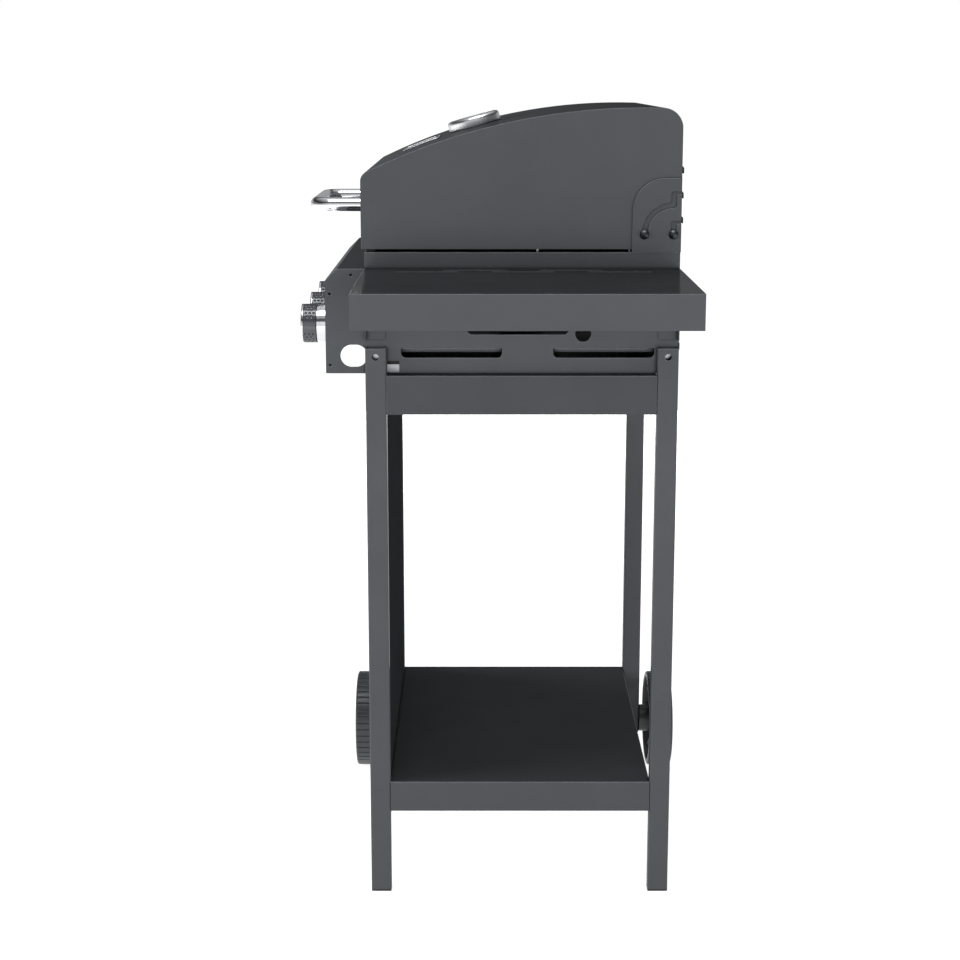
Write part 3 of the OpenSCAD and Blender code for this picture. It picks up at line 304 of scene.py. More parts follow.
def make_brush():
    """Brushed lines: noise with the given number of waves per metre along each axis, few along
    the lines and many across them, and wider streaks for the tone."""
    group, n, given, out = effect_group(
        "brushed_lines", {"Stretch": VECTOR}, {"Height": FLOAT, "Streak": FLOAT})
    place = n.add("ShaderNodeTexCoord").outputs["Object"]
    drawn = n.add("ShaderNodeVectorMath", {0: place, 1: given["Stretch"]},
                  operation="MULTIPLY").outputs[0]
    n.feed(out["Height"], n.noise(drawn, 1.0, 3.0))
    n.feed(out["Streak"], n.spread(n.noise(drawn, 0.2, 2.0), NOISE_LOW, NOISE_HIGH, 0.0, 1.0))
    return group


def make_casting():
    """Cast or moulded skin: rounded pits between cells, with fine noise over them."""
    group, n, given, out = effect_group(
        "cast_skin", {"Size": FLOAT}, {"Height": FLOAT, "Pits": FLOAT})
    place = n.add("ShaderNodeTexCoord").outputs["Object"]
    scale = n.calculate("DIVIDE", 1.0, given["Size"])
    cells = n.add("ShaderNodeTexVoronoi", {"Vector": place, "Scale": scale},
                  feature="SMOOTH_F1").outputs["Distance"]
    fine = n.noise(place, n.calculate("MULTIPLY", scale, 3.0), 3.0)
    n.feed(out["Height"], n.calculate("ADD", cells, n.calculate("MULTIPLY", fine, 0.6)))
    n.feed(out["Pits"], n.spread(cells, 0.0, 0.6, 0.0, 1.0))
    return group


GRAIN, EDGES, BRUSH, CASTING = make_grain(), make_edges(), make_brush(), make_casting()


def new_finish(name, **constants):
    """A material with a Principled shader, some of whose sockets are set to constants."""
    material = bpy.data.materials.new(name)
    material.use_nodes = True
    material.node_tree.nodes.clear()
    nodes = Nodes(material.node_tree)
    shader = nodes.add("ShaderNodeBsdfPrincipled")
    for key, value in constants.items():
        shader.inputs[key.replace("_", " ")].default_value = value
    nodes.feed(nodes.add("ShaderNodeOutputMaterial").inputs["Surface"], shader.outputs[0])
    return material, nodes, shader.inputs


def paint(name, colour, roughness, specular=0.0, wear_and_highlight=3.0, grain=0.0009, radius=0.0012, coat=0.0):
    """Powder coat or print: an even colour with faint patches and a fine orange peel, with painted
    shade where faces meet, lighter on edges that look up (partly wear, partly a painted
    highlight), under a thin gloss that shows at flat angles."""
    material, n, into = new_finish(
        name, Specular_IOR_Level=specular, Coat_Weight=coat, Coat_Roughness=0.12)
    skin = n.effect(GRAIN, Size=grain, Patch_Size=0.07)
    edge = n.effect(EDGES, Radius=radius, Amount=wear_and_highlight)
    even = n.blend(skin["Patch"], shade(colour, 0.96), shade(colour, 1.04))
    # Painted shade: the colour falls to a quarter of itself where faces meet
    tone = n.blend(edge["Painted AO"], shade(colour, 0.25), even)
    # Edges that look up turn 4.5 times lighter: partly wear, partly a painted highlight
    n.feed(into["Base Color"], n.blend(edge["Mask"], tone, shade(colour, 4.5)))
    n.feed(into["Roughness"],
           n.spread(skin["Patch"], 0.0, 1.0, roughness - 0.03, roughness + 0.03))
    n.feed(into["Normal"], n.bump(skin["Height"], edge["Normal"], 0.25, 0.00012))
    return material


def plating(name, colour, roughness, haze=0.04, radius=0.0006):
    """Polished plating: mirror metal with faint patches of haze."""
    material, n, into = new_finish(name, Metallic=1.0)
    skin = n.effect(GRAIN, Size=0.003, Patch_Size=0.03)
    edge = n.effect(EDGES, Radius=radius, Amount=0.2)
    n.feed(into["Base Color"], n.blend(skin["Patch"], shade(colour, 0.97), colour))
    n.feed(into["Roughness"], n.spread(skin["Patch"], 0.0, 1.0, roughness, roughness + haze))
    n.feed(into["Normal"], n.bump(skin["Height"], edge["Normal"], 0.05, 0.00005))
    return material


def brushed(name, colour, roughness, stretch, soot=None, soot_amount=0.0):
    """Brushed or drawn metal, which may have patches of soot."""
    material, n, into = new_finish(name, Metallic=1.0)
    lines = n.effect(BRUSH, Stretch=stretch)
    skin = n.effect(GRAIN, Size=0.002, Patch_Size=0.045)
    edge = n.effect(EDGES, Radius=0.0006, Amount=0.3)
    tone = n.blend(lines["Streak"], shade(colour, 0.9), colour)
    if soot:
        tone = n.blend(n.calculate("MULTIPLY", skin["Patch"], soot_amount), tone, soot)
    n.feed(into["Base Color"], tone)
    n.feed(into["Roughness"], n.spread(
        lines["Height"], NOISE_LOW, NOISE_HIGH, roughness - 0.06, roughness + 0.08))
    n.feed(into["Normal"], n.bump(lines["Height"], edge["Normal"], 0.12, 0.00005))
    return material


def casting(name, colour, roughness, specular, size, strength=0.35):
    """Cast or moulded material: pitted skin with painted shade in its pits, lighter on edges that
    look up, partly from wear and partly as a painted highlight.
    """
    material, n, into = new_finish(name, Specular_IOR_Level=specular)
    skin = n.effect(CASTING, Size=size)
    edge = n.effect(EDGES, Radius=0.001, Amount=0.6)
    # Painted shade: darker in the pits, lighter on the rims between them
    tone = n.blend(skin["Pits"], shade(colour, 0.85), shade(colour, 1.1))
    # Edges that look up turn twice as light: partly wear, partly a painted highlight
    n.feed(into["Base Color"], n.blend(edge["Mask"], tone, shade(colour, 2.0)))
    n.feed(into["Roughness"],
           n.spread(skin["Pits"], 0.0, 1.0, roughness + 0.06, roughness - 0.04))
    n.feed(into["Normal"], n.bump(skin["Height"], edge["Normal"], strength, 0.0003))
    return material


def clear_glass(name):
    """Clear glass with a faint film."""
    material, n, into = new_finish(name, Transmission_Weight=1.0, IOR=1.45)
    skin = n.effect(GRAIN, Size=0.004, Patch_Size=0.02)
    n.feed(into["Base Color"],
           n.blend(skin["Patch"], (0.93, 0.96, 0.97, 1), (0.97, 0.99, 1, 1)))
    n.feed(into["Roughness"], n.spread(skin["Patch"], 0.0, 1.0, 0.0, 0.03))
    return material


GRAPHITE = linear(88, 90, 94)
CART_PAINT = {"roughness": 0.65, "wear_and_highlight": 5.0, "radius": 0.002}
PRINT = {"wear_and_highlight": 0.0, "grain": 0.0004, "radius": 0.0002}
FINISH = {
    "frame_paint": paint("graphite_paint", shade(GRAPHITE, 0.96), coat=0.28, **CART_PAINT),
    "matt_paint": paint("matt_graphite", shade(GRAPHITE, 0.98), coat=0.08, **CART_PAINT),
    # Painted shade: the aprons get a darker copy of the graphite, for the shade the side shelves
    # cast on them
    "apron_paint": paint("apron_graphite_painted_shade", shade(GRAPHITE, 0.86), coat=0.08, **CART_PAINT),
    # Painted shade: the front panel's darker paint stands in for the shade its inner face lies in
    "dark_paint": paint("dark_panel_paint_painted_shade", linear(44, 45, 48), roughness=0.6),
    "chrome": plating("polished_plating", (0.86, 0.87, 0.89, 1), roughness=0.05),
    "satin": plating("satin_plating", (0.84, 0.85, 0.87, 1), roughness=0.24, haze=0.06),
    "stainless": brushed("drawn_stainless", (0.55, 0.55, 0.56, 1), 0.3, (900.0, 40.0, 900.0)),
    # Painted shade: the heat-tinted stainless is also made almost black, for the shade inside the
    # firebox; its soot patches are real dirt
    "hot_stainless": brushed("heated_stainless_painted_shade", (0.045, 0.042, 0.04, 1), 0.42,
                             (60.0, 700.0, 700.0), (0.02, 0.016, 0.013, 1), 0.8),
    "zinc": brushed("zinc_plating", (0.52, 0.53, 0.55, 1), 0.42, (300.0, 300.0, 300.0)),
    "dark_steel": plating("blackened_steel", (0.08, 0.083, 0.09, 1), 0.36, 0.1, 0.0005),
    "bolt_steel": plating("bolt_plating", (0.6, 0.61, 0.62, 1), 0.16, 0.06, 0.0005),
    "brass": brushed("machined_brass", (0.72, 0.55, 0.26, 1), 0.28, (500.0, 500.0, 900.0)),
    "cast_iron": casting("enamelled_iron", (0.022, 0.022, 0.023, 1), 0.5, 0.3, 0.0016),
    "grip_plastic": casting("grip_gloss", linear(66, 70, 78), 0.22, 1.0, 0.0007, 0.03),
    "wheel_plastic": casting("moulded_wheel", linear(58, 61, 66), 0.34, 0.6, 0.0009, 0.08),
    "cap_plastic": casting("moulded_cap", linear(48, 49, 52), 0.6, 0.2, 0.0009, 0.2),
    "dial_white": paint("dial_print", (0.78, 0.78, 0.76, 1), 0.5, 0.2, **PRINT),
    "needle_red": paint("needle_paint", (0.55, 0.03, 0.02, 1), 0.4, 0.3, **PRINT),
    "glass": clear_glass("gauge_glass_clear"),
    "dial_ink": paint("dial_ink", linear(28, 28, 30), 0.6, 0.1, **PRINT),
    "plate_enamel": paint("plate_enamel", linear(58, 59, 62), roughness=0.5, wear_and_highlight=0.5,
                          grain=0.0006, radius=0.0004),
}
for row in frame["record"]["subparts"]:
    materials = frame["nodes"][row["node"]].data.materials
    materials.clear()
    materials.append(FINISH[row["material_slot"]])
OTHER_FINISHES = {
    "hot_stainless": ("left_burner", "middle_burner", "right_burner", "flame_tamers", "drip_tray"),
    "bolt_steel": ("cart_bolts",),
    "matt_paint": ("lid_shell", "control_panel", "bottom_shelf"),
    "apron_paint": ("side_aprons",),
}
for finish, names in OTHER_FINISHES.items():
    for name in names:
        frame["nodes"][name].data.materials[0] = FINISH[finish]


# Louvres of the side panels

LOUVRE_L, LOUVRE_H = 0.1325, 0.0132
LOUVRES = ((-0.09217, 0.0207), (0.10777, 0.0207), (-0.005, 0.0513))  # middle in Y, lower edge
LIP_D, LIP_H, LIP_SHEET, LIP_END = 0.008, 0.0066, 0.0008, 0.0002
LIP_SINK = 0.0001


def louvre_lips():
    """Pressed lip of each louvre: a sheet that leaves the panel at the opening's top edge and
    curls inwards along a quarter of an ellipse, carried along the opening. Its outer side lies
    8 mm (1 - cos t) inwards of the panel and 6.6 mm sin t under that edge."""
    t = np.radians(np.linspace(0, 88, 10))
    outer = np.stack([-LIP_D * (1 - np.cos(t)), -LIP_H * np.sin(t)], -1)
    normal = np.stack([LIP_H * np.cos(t), -LIP_D * np.sin(t)], -1)
    inner = outer - LIP_SHEET * normal / np.linalg.norm(normal, axis=1)[:, None]
    loop = np.concatenate([outer, inner[::-1]])
    half = LOUVRE_L / 2 - LIP_END
    along = np.linspace(-half, half, 12)[:, None]
    sides = grid_faces(len(along), len(loop), wrap_columns=True).tolist()
    last = (len(along) - 1) * len(loop)
    shapes = []
    for side in (-1, 1):
        for y, z in LOUVRES:
            points = np.stack(np.broadcast_arrays(
                side * (SIDE_X - LIP_SINK + loop[:, 0]), CART_Y + y + along,
                BODY_Z + z + LOUVRE_H + loop[:, 1]), -1).reshape(-1, 3)
            ends = []
            for k in range(len(t) - 1):
                end = [k, k + 1, len(loop) - 2 - k, len(loop) - 1 - k]
                ends += [end, [last + e for e in end[::-1]]]
            shapes.append((points, sides + ends))
    return shapes


make_piece("louvre_lips", louvre_lips(), "cart", FINISH["frame_paint"])


# Wheels. Heights run outwards from the tyre's inner face

AXLE_X, AXLE_Z, TYRE_Y, TYRE_W = -0.250, 0.076, 0.217, 0.0375
WHEEL_R, RIM_R, HUB_R, BORE_R = 0.076, 0.067, 0.0215, 0.00505
HUB_IN, HUB_OUT, SHOULDER, WEB = -0.0117, TYRE_W - 0.006, 0.0025, 0.002
GROOVES, GROOVE_D, GROOVE_HALF = 45, 0.0017, 0.0008
GROOVE_FROM, GROOVE_TO = 0.0135, TYRE_W - 0.0015
NOTCH_HALF, NOTCH_TO, FADE = 0.0014, 0.011, 0.002
RIBS, RIB_T, RIB_INSET, RIB_DIP = 12, 0.0032, 0.005, 0.005


def wheel_place(side):
    """Puts a turned wheel on the axle's front (-1) or rear (1) end."""
    def place(p):
        y = CART_Y + side * (TYRE_Y + p[:, 2])
        return np.stack([AXLE_X + p[:, 0], y, AXLE_Z - p[:, 1]], -1)
    return place


def ramp(past, width):
    """0 before a place, 1 from a width past it."""
    return np.clip(past / width, 0, 1)


def dent(distance, half_width, power):
    """1 at a dent's middle and 0 well outside it: 1 / (1 + (distance / half_width)^power)."""
    return 1 / (1 + (distance / half_width) ** power)


def tread(radius, height, angle):
    """Tread: the radius less 1.7 mm in a groove every 8 degrees, over the outer three fifths.
    On the inner shoulder, notches four fifths as deep lie halfway between the grooves."""
    turn = (angle * GROOVES / (2 * math.pi)) % 1.0
    from_groove = np.abs(turn - 0.5) * WHEEL_R * 2 * math.pi / GROOVES
    from_notch = WHEEL_R * 2 * math.pi / (2 * GROOVES) - from_groove
    outer = ramp(height - GROOVE_FROM, FADE) * ramp(GROOVE_TO - height, FADE)
    groove = dent(from_groove, GROOVE_HALF, 8) * outer
    notch = dent(from_notch, NOTCH_HALF, 6) * ramp(NOTCH_TO - height, FADE)
    on_tread = ramp(radius - RIM_R - 0.004, 0.003)
    return radius - GROOVE_D * on_tread * np.maximum(groove, 0.8 * notch)


def wheel_section():
    """Section of a wheel round its bore, hub, web, rim and tread, as radius and height."""
    mid = TYRE_W / 2
    inner = rounded([(BORE_R, HUB_IN), (HUB_R, HUB_IN), (HUB_R + 0.0012, mid - WEB),
                     (RIM_R, mid - WEB), (RIM_R + 0.0006, 0), (WHEEL_R - SHOULDER, 0),
                     (WHEEL_R, SHOULDER)], [0.0015, 0.004, 0.003, 0.001, 0.002])
    face = [(WHEEL_R, h) for h in np.linspace(0.004, TYRE_W - 0.0038, 22)]
    outer = rounded([(WHEEL_R, TYRE_W - SHOULDER), (WHEEL_R - SHOULDER, TYRE_W),
                     (RIM_R + 0.0006, TYRE_W), (RIM_R, mid + WEB), (HUB_R + 0.001, mid + WEB),
                     (HUB_R, HUB_OUT), (BORE_R, HUB_OUT)], [0.002, 0.001, 0.003, 0.004, 0.0015])
    return np.concatenate([inner, face, outer])


def wheel_ribs(side):
    """Ribs from hub to rim: thin walls whose edges lie 5 mm + 5 mm sin(pi u) inside the tyre's
    faces, where u runs from 0 at the hub to 1 at the rim."""
    r = np.linspace(HUB_R - 0.0008, RIM_R + 0.001, 14)
    dip = RIB_DIP * np.sin(np.pi * (r - r[0]) / (r[-1] - r[0]))
    low, high = RIB_INSET + dip, TYRE_W - RIB_INSET - dip
    faces = grid_faces(len(r), 4, wrap_columns=True).tolist()
    last = 4 * len(r) - 4
    faces += [[0, 1, 2, 3], [last, last + 1, last + 2, last + 3]]
    shapes = []
    for k in range(RIBS):
        a = 2 * math.pi * k / RIBS
        lines = []
        for half, height in ((-1, low), (-1, high), (1, high), (1, low)):
            t = RIB_T / 2 * half
            lines.append(np.stack([r * math.cos(a) - t * math.sin(a),
                                   r * math.sin(a) + t * math.cos(a), height], -1))
        shapes.append((wheel_place(side)(np.stack(lines, 1).reshape(-1, 3)), faces))
    return shapes


# Angles of the tread's points: close together at the sides of each groove and notch
across_groove = np.array([0.0, 0.12, 0.24, 0.36, 0.405, 0.425, 0.44, 0.455, 0.48, 0.52, 0.545,
                          0.56, 0.575, 0.595, 0.64, 0.76, 0.88])
tread_angles = 2 * math.pi * (np.arange(GROOVES)[:, None] + across_groove).ravel() / GROOVES
for name, side in (("front_wheel", -1), ("rear_wheel", 1)):
    tyre = lathe(wheel_section(), tread_angles, wheel_place(side), tread, closed=True)
    make_piece(name + "_tyre", [tyre], name, FINISH["wheel_plastic"], (name,))
    make_piece(name + "_ribs", wheel_ribs(side), name, FINISH["wheel_plastic"])


# Knobs. Heights run out of the control panel

KNOB_R, KNOB_OUT, GRIP_Z, GRIP_W = 0.0265, 0.041, 0.0184, 0.0176
SPINDLE_R, SPINDLE_END, SKIRT_R, SKIRT_Z = 0.0036, 0.0301, 0.025, 0.0116
SEAT_R, CAP_Z, CAP_EDGE_Z, DOME_H, DOME_LEAN = 0.0236, 0.0362, 0.0388, 0.002, 1.05
GRIP_IN, GRIP_R, GRIP_ROUND = 0.0237, KNOB_R - 0.0001, 0.0006
DIMPLE_D, DIMPLE_HALF, DIMPLE_PITCH = 0.0011, 0.0013, 0.0052
BEZEL_R, BEZEL_L, BEZEL_HOLE, BEZEL_WALL = 0.026, 0.0134, 0.012, 0.0007


def knob_place(i):
    """Puts a turned knob on the panel, counted from -1 at the left to 1 at the right."""
    def place(p):
        y = CART_Y + PANEL_Y - p[:, 2]
        return np.stack([i * KNOB_PITCH + p[:, 0], y, KNOB_Z + p[:, 1]], -1)
    return place


def dimples():
    """Places of the grip's dimples, as angle in radians and height from the grip's lower edge:
    four patches, each of four rows of two or three."""
    places = []
    for patch in (45, 135, 225, 315):
        for row, shift in enumerate((-19.5, -7.0, 6.0, 18.0)):
            count = 2 + row % 2
            for k in range(count):
                height = GRIP_W / 2 + (k - (count - 1) / 2) * DIMPLE_PITCH
                places.append((math.radians(patch + shift), height))
    return places


def grip(radius, height, angle):
    """Grip: the radius less a bowl 1.1 mm deep at each dimple, 2.6 mm wide at half its depth."""
    deep = np.zeros_like(radius)
    for a, h in dimples():
        turn = (angle - a + math.pi) % (2 * math.pi) - math.pi
        far = np.sqrt((turn * KNOB_R) ** 2 + (height - GRIP_Z - h) ** 2)
        deep = np.maximum(deep, dent(far, DIMPLE_HALF, 6))
    return radius - DIMPLE_D * deep * ramp(radius - KNOB_R + 0.002, 0.001)


def knob_body():
    """Section of a plated knob: spindle bore, skirt, seat of the grip, and a domed cap."""
    dome = [(KNOB_R * 0.985 * math.sin(t) / math.sin(DOME_LEAN),
             KNOB_OUT - DOME_H * (1 - math.cos(t)) / (1 - math.cos(DOME_LEAN)))
            for t in np.linspace(DOME_LEAN, 0.0, 12)]
    seat_z = GRIP_Z - 0.0002
    return np.concatenate([
        rounded([(0, SPINDLE_END), (SPINDLE_R, SPINDLE_END), (SPINDLE_R, SKIRT_Z),
                 (SKIRT_R, SKIRT_Z), (SKIRT_R, seat_z), (SEAT_R, seat_z), (SEAT_R, CAP_Z),
                 (KNOB_R, CAP_Z), (KNOB_R, CAP_EDGE_Z)],
                [0, 0, 0.0006, 0.0004, 0, 0, 0.0005], 4), dome])


def grip_section():
    """Section of a grip band, with rows of points close enough for its dimples."""
    top = GRIP_Z + GRIP_W
    return np.concatenate([
        rounded([(GRIP_IN, GRIP_Z), (GRIP_R, GRIP_Z), (GRIP_R, GRIP_Z + 0.001)], [GRIP_ROUND], 4),
        [(GRIP_R, h) for h in np.linspace(GRIP_Z + 0.0012, top - 0.0012, 52)],
        rounded([(GRIP_R, top - 0.001), (GRIP_R, top), (GRIP_IN, top)], [GRIP_ROUND], 4)])


bezel = rounded([(BEZEL_HOLE, 0.0001), (BEZEL_R, 0.0001), (BEZEL_R, BEZEL_L),
                 (BEZEL_R - BEZEL_WALL, BEZEL_L), (BEZEL_R - BEZEL_WALL, 0.001),
                 (BEZEL_HOLE, 0.001)], [0.0006, 0.0003, 0.0003, 0.0003], 4)
rings = []
for i, side in ((-1, "left"), (0, "middle"), (1, "right")):
    body, knob = side + "_knob", knob_place(i)
    band = lathe(grip_section(), 360, knob, grip, closed=True)
    make_piece(side + "_knob_body", [lathe(knob_body(), 96, knob)], body,
               FINISH["chrome"], (side + "_knob",))
    make_piece(side + "_knob_band", [band], body, FINISH["grip_plastic"],
               (side + "_knob_grip",))
    rings.append(lathe(bezel, 96, knob, closed=True))
make_piece("bezel_rings", rings, "cart", FINISH["chrome"], ("knob_bezels",))


# Handle

HANDLE_R, HANDLE_X, HANDLE_Z, HANDLE_OUT, HANDLE_BEND = 0.0095, 0.100, 0.9345, 0.069, 0.022


def handle_path():
    """Middle line of the handle: out of the lid, round a bend of 22 mm, along X, and back."""
    bend = np.radians(np.linspace(0, 90, 22))
    post = [(HANDLE_X, d) for d in np.linspace(0, HANDLE_OUT - HANDLE_BEND - 0.001, 8)]
    round_bend = np.stack([HANDLE_X - HANDLE_BEND + HANDLE_BEND * np.cos(bend),
                           HANDLE_OUT - HANDLE_BEND + HANDLE_BEND * np.sin(bend)], -1)
    bar = [(x, HANDLE_OUT) for x in np.linspace(0.075, 0.0, 14)[:-1]]
    half = np.concatenate([post, round_bend, bar])
    x, out = np.concatenate([half, (half * [-1, 1])[::-1]]).T
    return np.stack([x, CART_Y + LID_FRONT_Y - out, np.full(len(x), HANDLE_Z)], -1)


make_piece("handle_tube", [tube(handle_path(), HANDLE_R, 64)], "lid", FINISH["chrome"],
           ("lid_handle",))


# Thermometer on the lid's curve. Heights run out of the lid

GAUGE_Y, GAUGE_R, GAUGE_H, CROWN = 0.148, 0.037, 0.014, 0.0052
CASE_Z, CASE_IN, CASE_FLOOR, STEM_HOLE = 0.0002, 0.0355, 0.0016, 0.0032
STEM_R, STEM_IN, STEM_OUT = 0.003, -0.045, 0.0069
DIAL_Z, DIAL_START, DIAL_SPAN, DIAL_MAX = 0.0078, 225, 270, 500
TICKS, TICK_R, TICK_IN, LONG_TICK_IN = 50, 0.0285, 0.0262, 0.0245
TICK_HALF, LONG_TICK_HALF = 0.00022, 0.00045
NUMBER_R, NUMBER_H = 0.0203, 0.0042


def gauge_place(p):
    """Carries points from the thermometer's frame (across, uphill, out) onto the lid's top."""
    lean = math.asin((APEX_Y - (LID_FRONT_Y + GAUGE_Y)) / LID_TOP_R)
    out = np.array([0, -math.sin(lean), math.cos(lean)])
    up = np.array([0, math.cos(lean), math.sin(lean)])
    origin = np.array([0, CART_Y + APEX_Y, TOP_CENTRE_Z]) + LID_TOP_R * out
    return origin + p[:, :1] * [1.0, 0, 0] + p[:, 1:2] * up + p[:, 2:3] * out


housing = np.concatenate([
    rounded([(STEM_HOLE, CASE_Z), (0.0345, CASE_Z), (GAUGE_R, CASE_Z), (GAUGE_R, 0.0085)],
            [0, 0.0006], 4),
    arc((GAUGE_R - CROWN, 0.0088), CROWN, 0, 90, 12),
    rounded([(0.0322, GAUGE_H), (0.0316, GAUGE_H - 0.0015), (0.0320, GAUGE_H - 0.003),
             (CASE_IN, 0.0090), (CASE_IN, CASE_FLOOR), (STEM_HOLE, CASE_FLOOR)],
            [0.0006, 0.0006, 0.001, 0.0005], 4)])
stem = rounded([(0, STEM_IN), (STEM_R, STEM_IN), (STEM_R, STEM_OUT), (0, STEM_OUT)],
               [0.0008, 0.0003], 4)
make_piece("gauge_case", [lathe(housing, 128, gauge_place, closed=True)], "lid",
           FINISH["satin"], ("gauge_housing",))
make_piece("gauge_stem", [lathe(stem, 32, gauge_place)], "lid", FINISH["stainless"])


def tick_marks():
    """Printed ticks: thin bars round the dial, 5.4 degrees apart, each fifth one longer."""
    faces = [[0, 3, 2, 1], [4, 5, 6, 7], [0, 1, 5, 4], [1, 2, 6, 5], [2, 3, 7, 6], [3, 0, 4, 7]]
    shapes = []
    for k in range(TICKS + 1):
        a = math.radians(DIAL_START - DIAL_SPAN * k / TICKS)
        inner, half = (TICK_IN, TICK_HALF) if k % 5 else (LONG_TICK_IN, LONG_TICK_HALF)
        corners = [(u * math.cos(a) - v * math.sin(a), u * math.sin(a) + v * math.cos(a), z)
                   for z in (DIAL_Z + 0.00001, DIAL_Z + 0.00009)
                   for u, v in ((inner, -half), (TICK_R, -half), (TICK_R, half), (inner, half))]
        shapes.append((gauge_place(np.array(corners)), faces))
    return shapes


def number(text, angle):
    """A plain number printed on the dial, upright, its middle at an angle in degrees."""
    curve = bpy.data.curves.new("number", "FONT")
    curve.body, curve.size, curve.extrude = text, NUMBER_H, 0.00004
    curve.align_x, curve.align_y, curve.resolution_u = "CENTER", "CENTER", 3
    written = bpy.data.objects.new("number", curve)
    mesh = bpy.data.meshes.new_from_object(written)
    points = np.array([v.co[:] for v in mesh.vertices])
    faces = [list(f.vertices) for f in mesh.polygons]
    bpy.data.objects.remove(written)
    a = math.radians(angle)
    middle = [NUMBER_R * math.cos(a), NUMBER_R * math.sin(a), DIAL_Z + 0.00006]
    return gauge_place(points + middle), faces


marks = tick_marks()
for value in range(0, DIAL_MAX + 1, 50):
    marks.append(number(str(value), DIAL_START - DIAL_SPAN * value / DIAL_MAX))
make_piece("dial_marks", marks, "lid", FINISH["dial_ink"], smooth=False)


# Plate on the lid's curve

PLATE_Y, PLATE_W, PLATE_L, PLATE_CORNER = 0.0728, 0.090, 0.0535, 0.006
FLOOR_INSET, FLOOR_LOW, FLOOR_TOP, FLOOR_GRID = 0.0022, 0.0002, 0.0007, (24, 16)
# Section of the rim, as distance from the plate's outline inwards, and height
RIM = ((0.0, 0.0002), (0.0, 0.0011), (0.0004, 0.0015), (0.0010, 0.0017), (0.0017, 0.0016),
       (0.0022, 0.0013), (0.0024, 0.0009), (0.0024, 0.0002))


def on_lid(p):
    """Carries flat points (across, uphill, out) onto the lid's curve at the plate. That curve is
    an arc about X: y = c - r sin(a) and z = d + r cos(a), with r = 827 mm + out and
    a = start - uphill / 827 mm."""
    start = math.asin((APEX_Y - (LID_FRONT_Y + PLATE_Y)) / LID_TOP_R)
    angle = start - p[:, 1] / LID_TOP_R
    radius = LID_TOP_R + p[:, 2]
    y, z = CART_Y + APEX_Y - radius * np.sin(angle), TOP_CENTRE_Z + radius * np.cos(angle)
    return np.stack([p[:, 0], y, z], -1)


def outline(inset):
    """Rounded rectangle of the plate, drawn in by an inset, with points about 4 mm apart along
    its sides."""
    r = max(PLATE_CORNER - inset / 2, 0.0015)
    x, y = PLATE_W / 2 - inset - r, PLATE_L / 2 - inset - r
    corners = [(x, y, 0), (-x, y, 90), (-x, -y, 180), (x, -y, 270)]
    line = np.array([point for x, y, a in corners for point in arc((x, y), r, a, a + 90, 9)])
    points = []
    for start, end in zip(line, np.roll(line, -1, axis=0)):
        count = max(int(np.hypot(*(end - start)) / 0.004), 1)
        points += [start + (end - start) * k / count for k in range(count)]
    return np.array(points)


def plate_rim():
    """Rim of the plate: a raised round bead, each ring of points at one inset and height."""
    rings = []
    count = len(outline(0.0))
    for inset, height in RIM:
        ring = outline(inset)
        step = np.linspace(0, len(ring), count, endpoint=False)
        known = np.arange(len(ring) + 1)
        even = [np.interp(step, known, np.append(ring[:, c], ring[0, c])) for c in (0, 1)]
        rings.append(np.column_stack([*even, np.full(count, height)]))
    points = np.stack(rings).reshape(-1, 3)
    return on_lid(points), grid_faces(len(rings), count, True, True).tolist()


def plate_floor():
    """Bare floor of the plate: a slab 0.5 mm thick that follows the lid's curve."""
    half_w, half_l = PLATE_W / 2 - FLOOR_INSET, PLATE_L / 2 - FLOOR_INSET
    columns, rows = FLOOR_GRID
    u, v = np.meshgrid(np.linspace(-half_w, half_w, columns),
                       np.linspace(-half_l, half_l, rows), indexing="ij")
    top = np.stack([u, v, 0 * u + FLOOR_TOP], -1).reshape(-1, 3)
    low = np.stack([u, v, 0 * u + FLOOR_LOW], -1).reshape(-1, 3)
    n = len(top)
    faces = grid_faces(columns, rows).tolist()
    faces += [[k + n for k in face[::-1]] for face in grid_faces(columns, rows).tolist()]
    edge = [k * rows for k in range(columns)]
    edge += [(columns - 1) * rows + k for k in range(1, rows)]
    edge += [k * rows + rows - 1 for k in range(columns - 2, -1, -1)]
    edge += list(range(rows - 2, 0, -1))
    faces += [[a, b, b + n, a + n] for a, b in zip(edge, edge[1:] + edge[:1])]
    return on_lid(np.concatenate([top, low])), faces


make_piece("plate_rim", [plate_rim()], "lid", FINISH["satin"], ("name_plate",))
make_piece("plate_floor", [plate_floor()], "lid", FINISH["plate_enamel"])


# Studio

LIGHT_LEVEL = 0.11
# What reflections see: brightness by height, as its sine, from the horizon and all below it up
STUDIO_STEPS = ((0.0, 0.85), (0.22, 0.85), (0.31, 0.12), (0.50, 0.08), (0.62, 0.35), (0.93, 0.6))
STUDIO_BLUE = 1.03
FLOOR_REACH = 40.0


def make_camera():
    """The photograph's camera: at the grill's right-hand side, looking 12 degrees down."""
    lens = bpy.data.cameras.new("camera")
    lens.lens, lens.sensor_width, lens.sensor_fit = 71.304, 36.0, "HORIZONTAL"
    camera = bpy.data.objects.new("camera", lens)
    camera.location = (2.7219, -0.0328, 1.1068)
    camera.rotation_euler = (math.radians(77.9875), 0.0, math.radians(90))
    bpy.context.scene.collection.objects.link(camera)
    bpy.context.scene.camera = camera


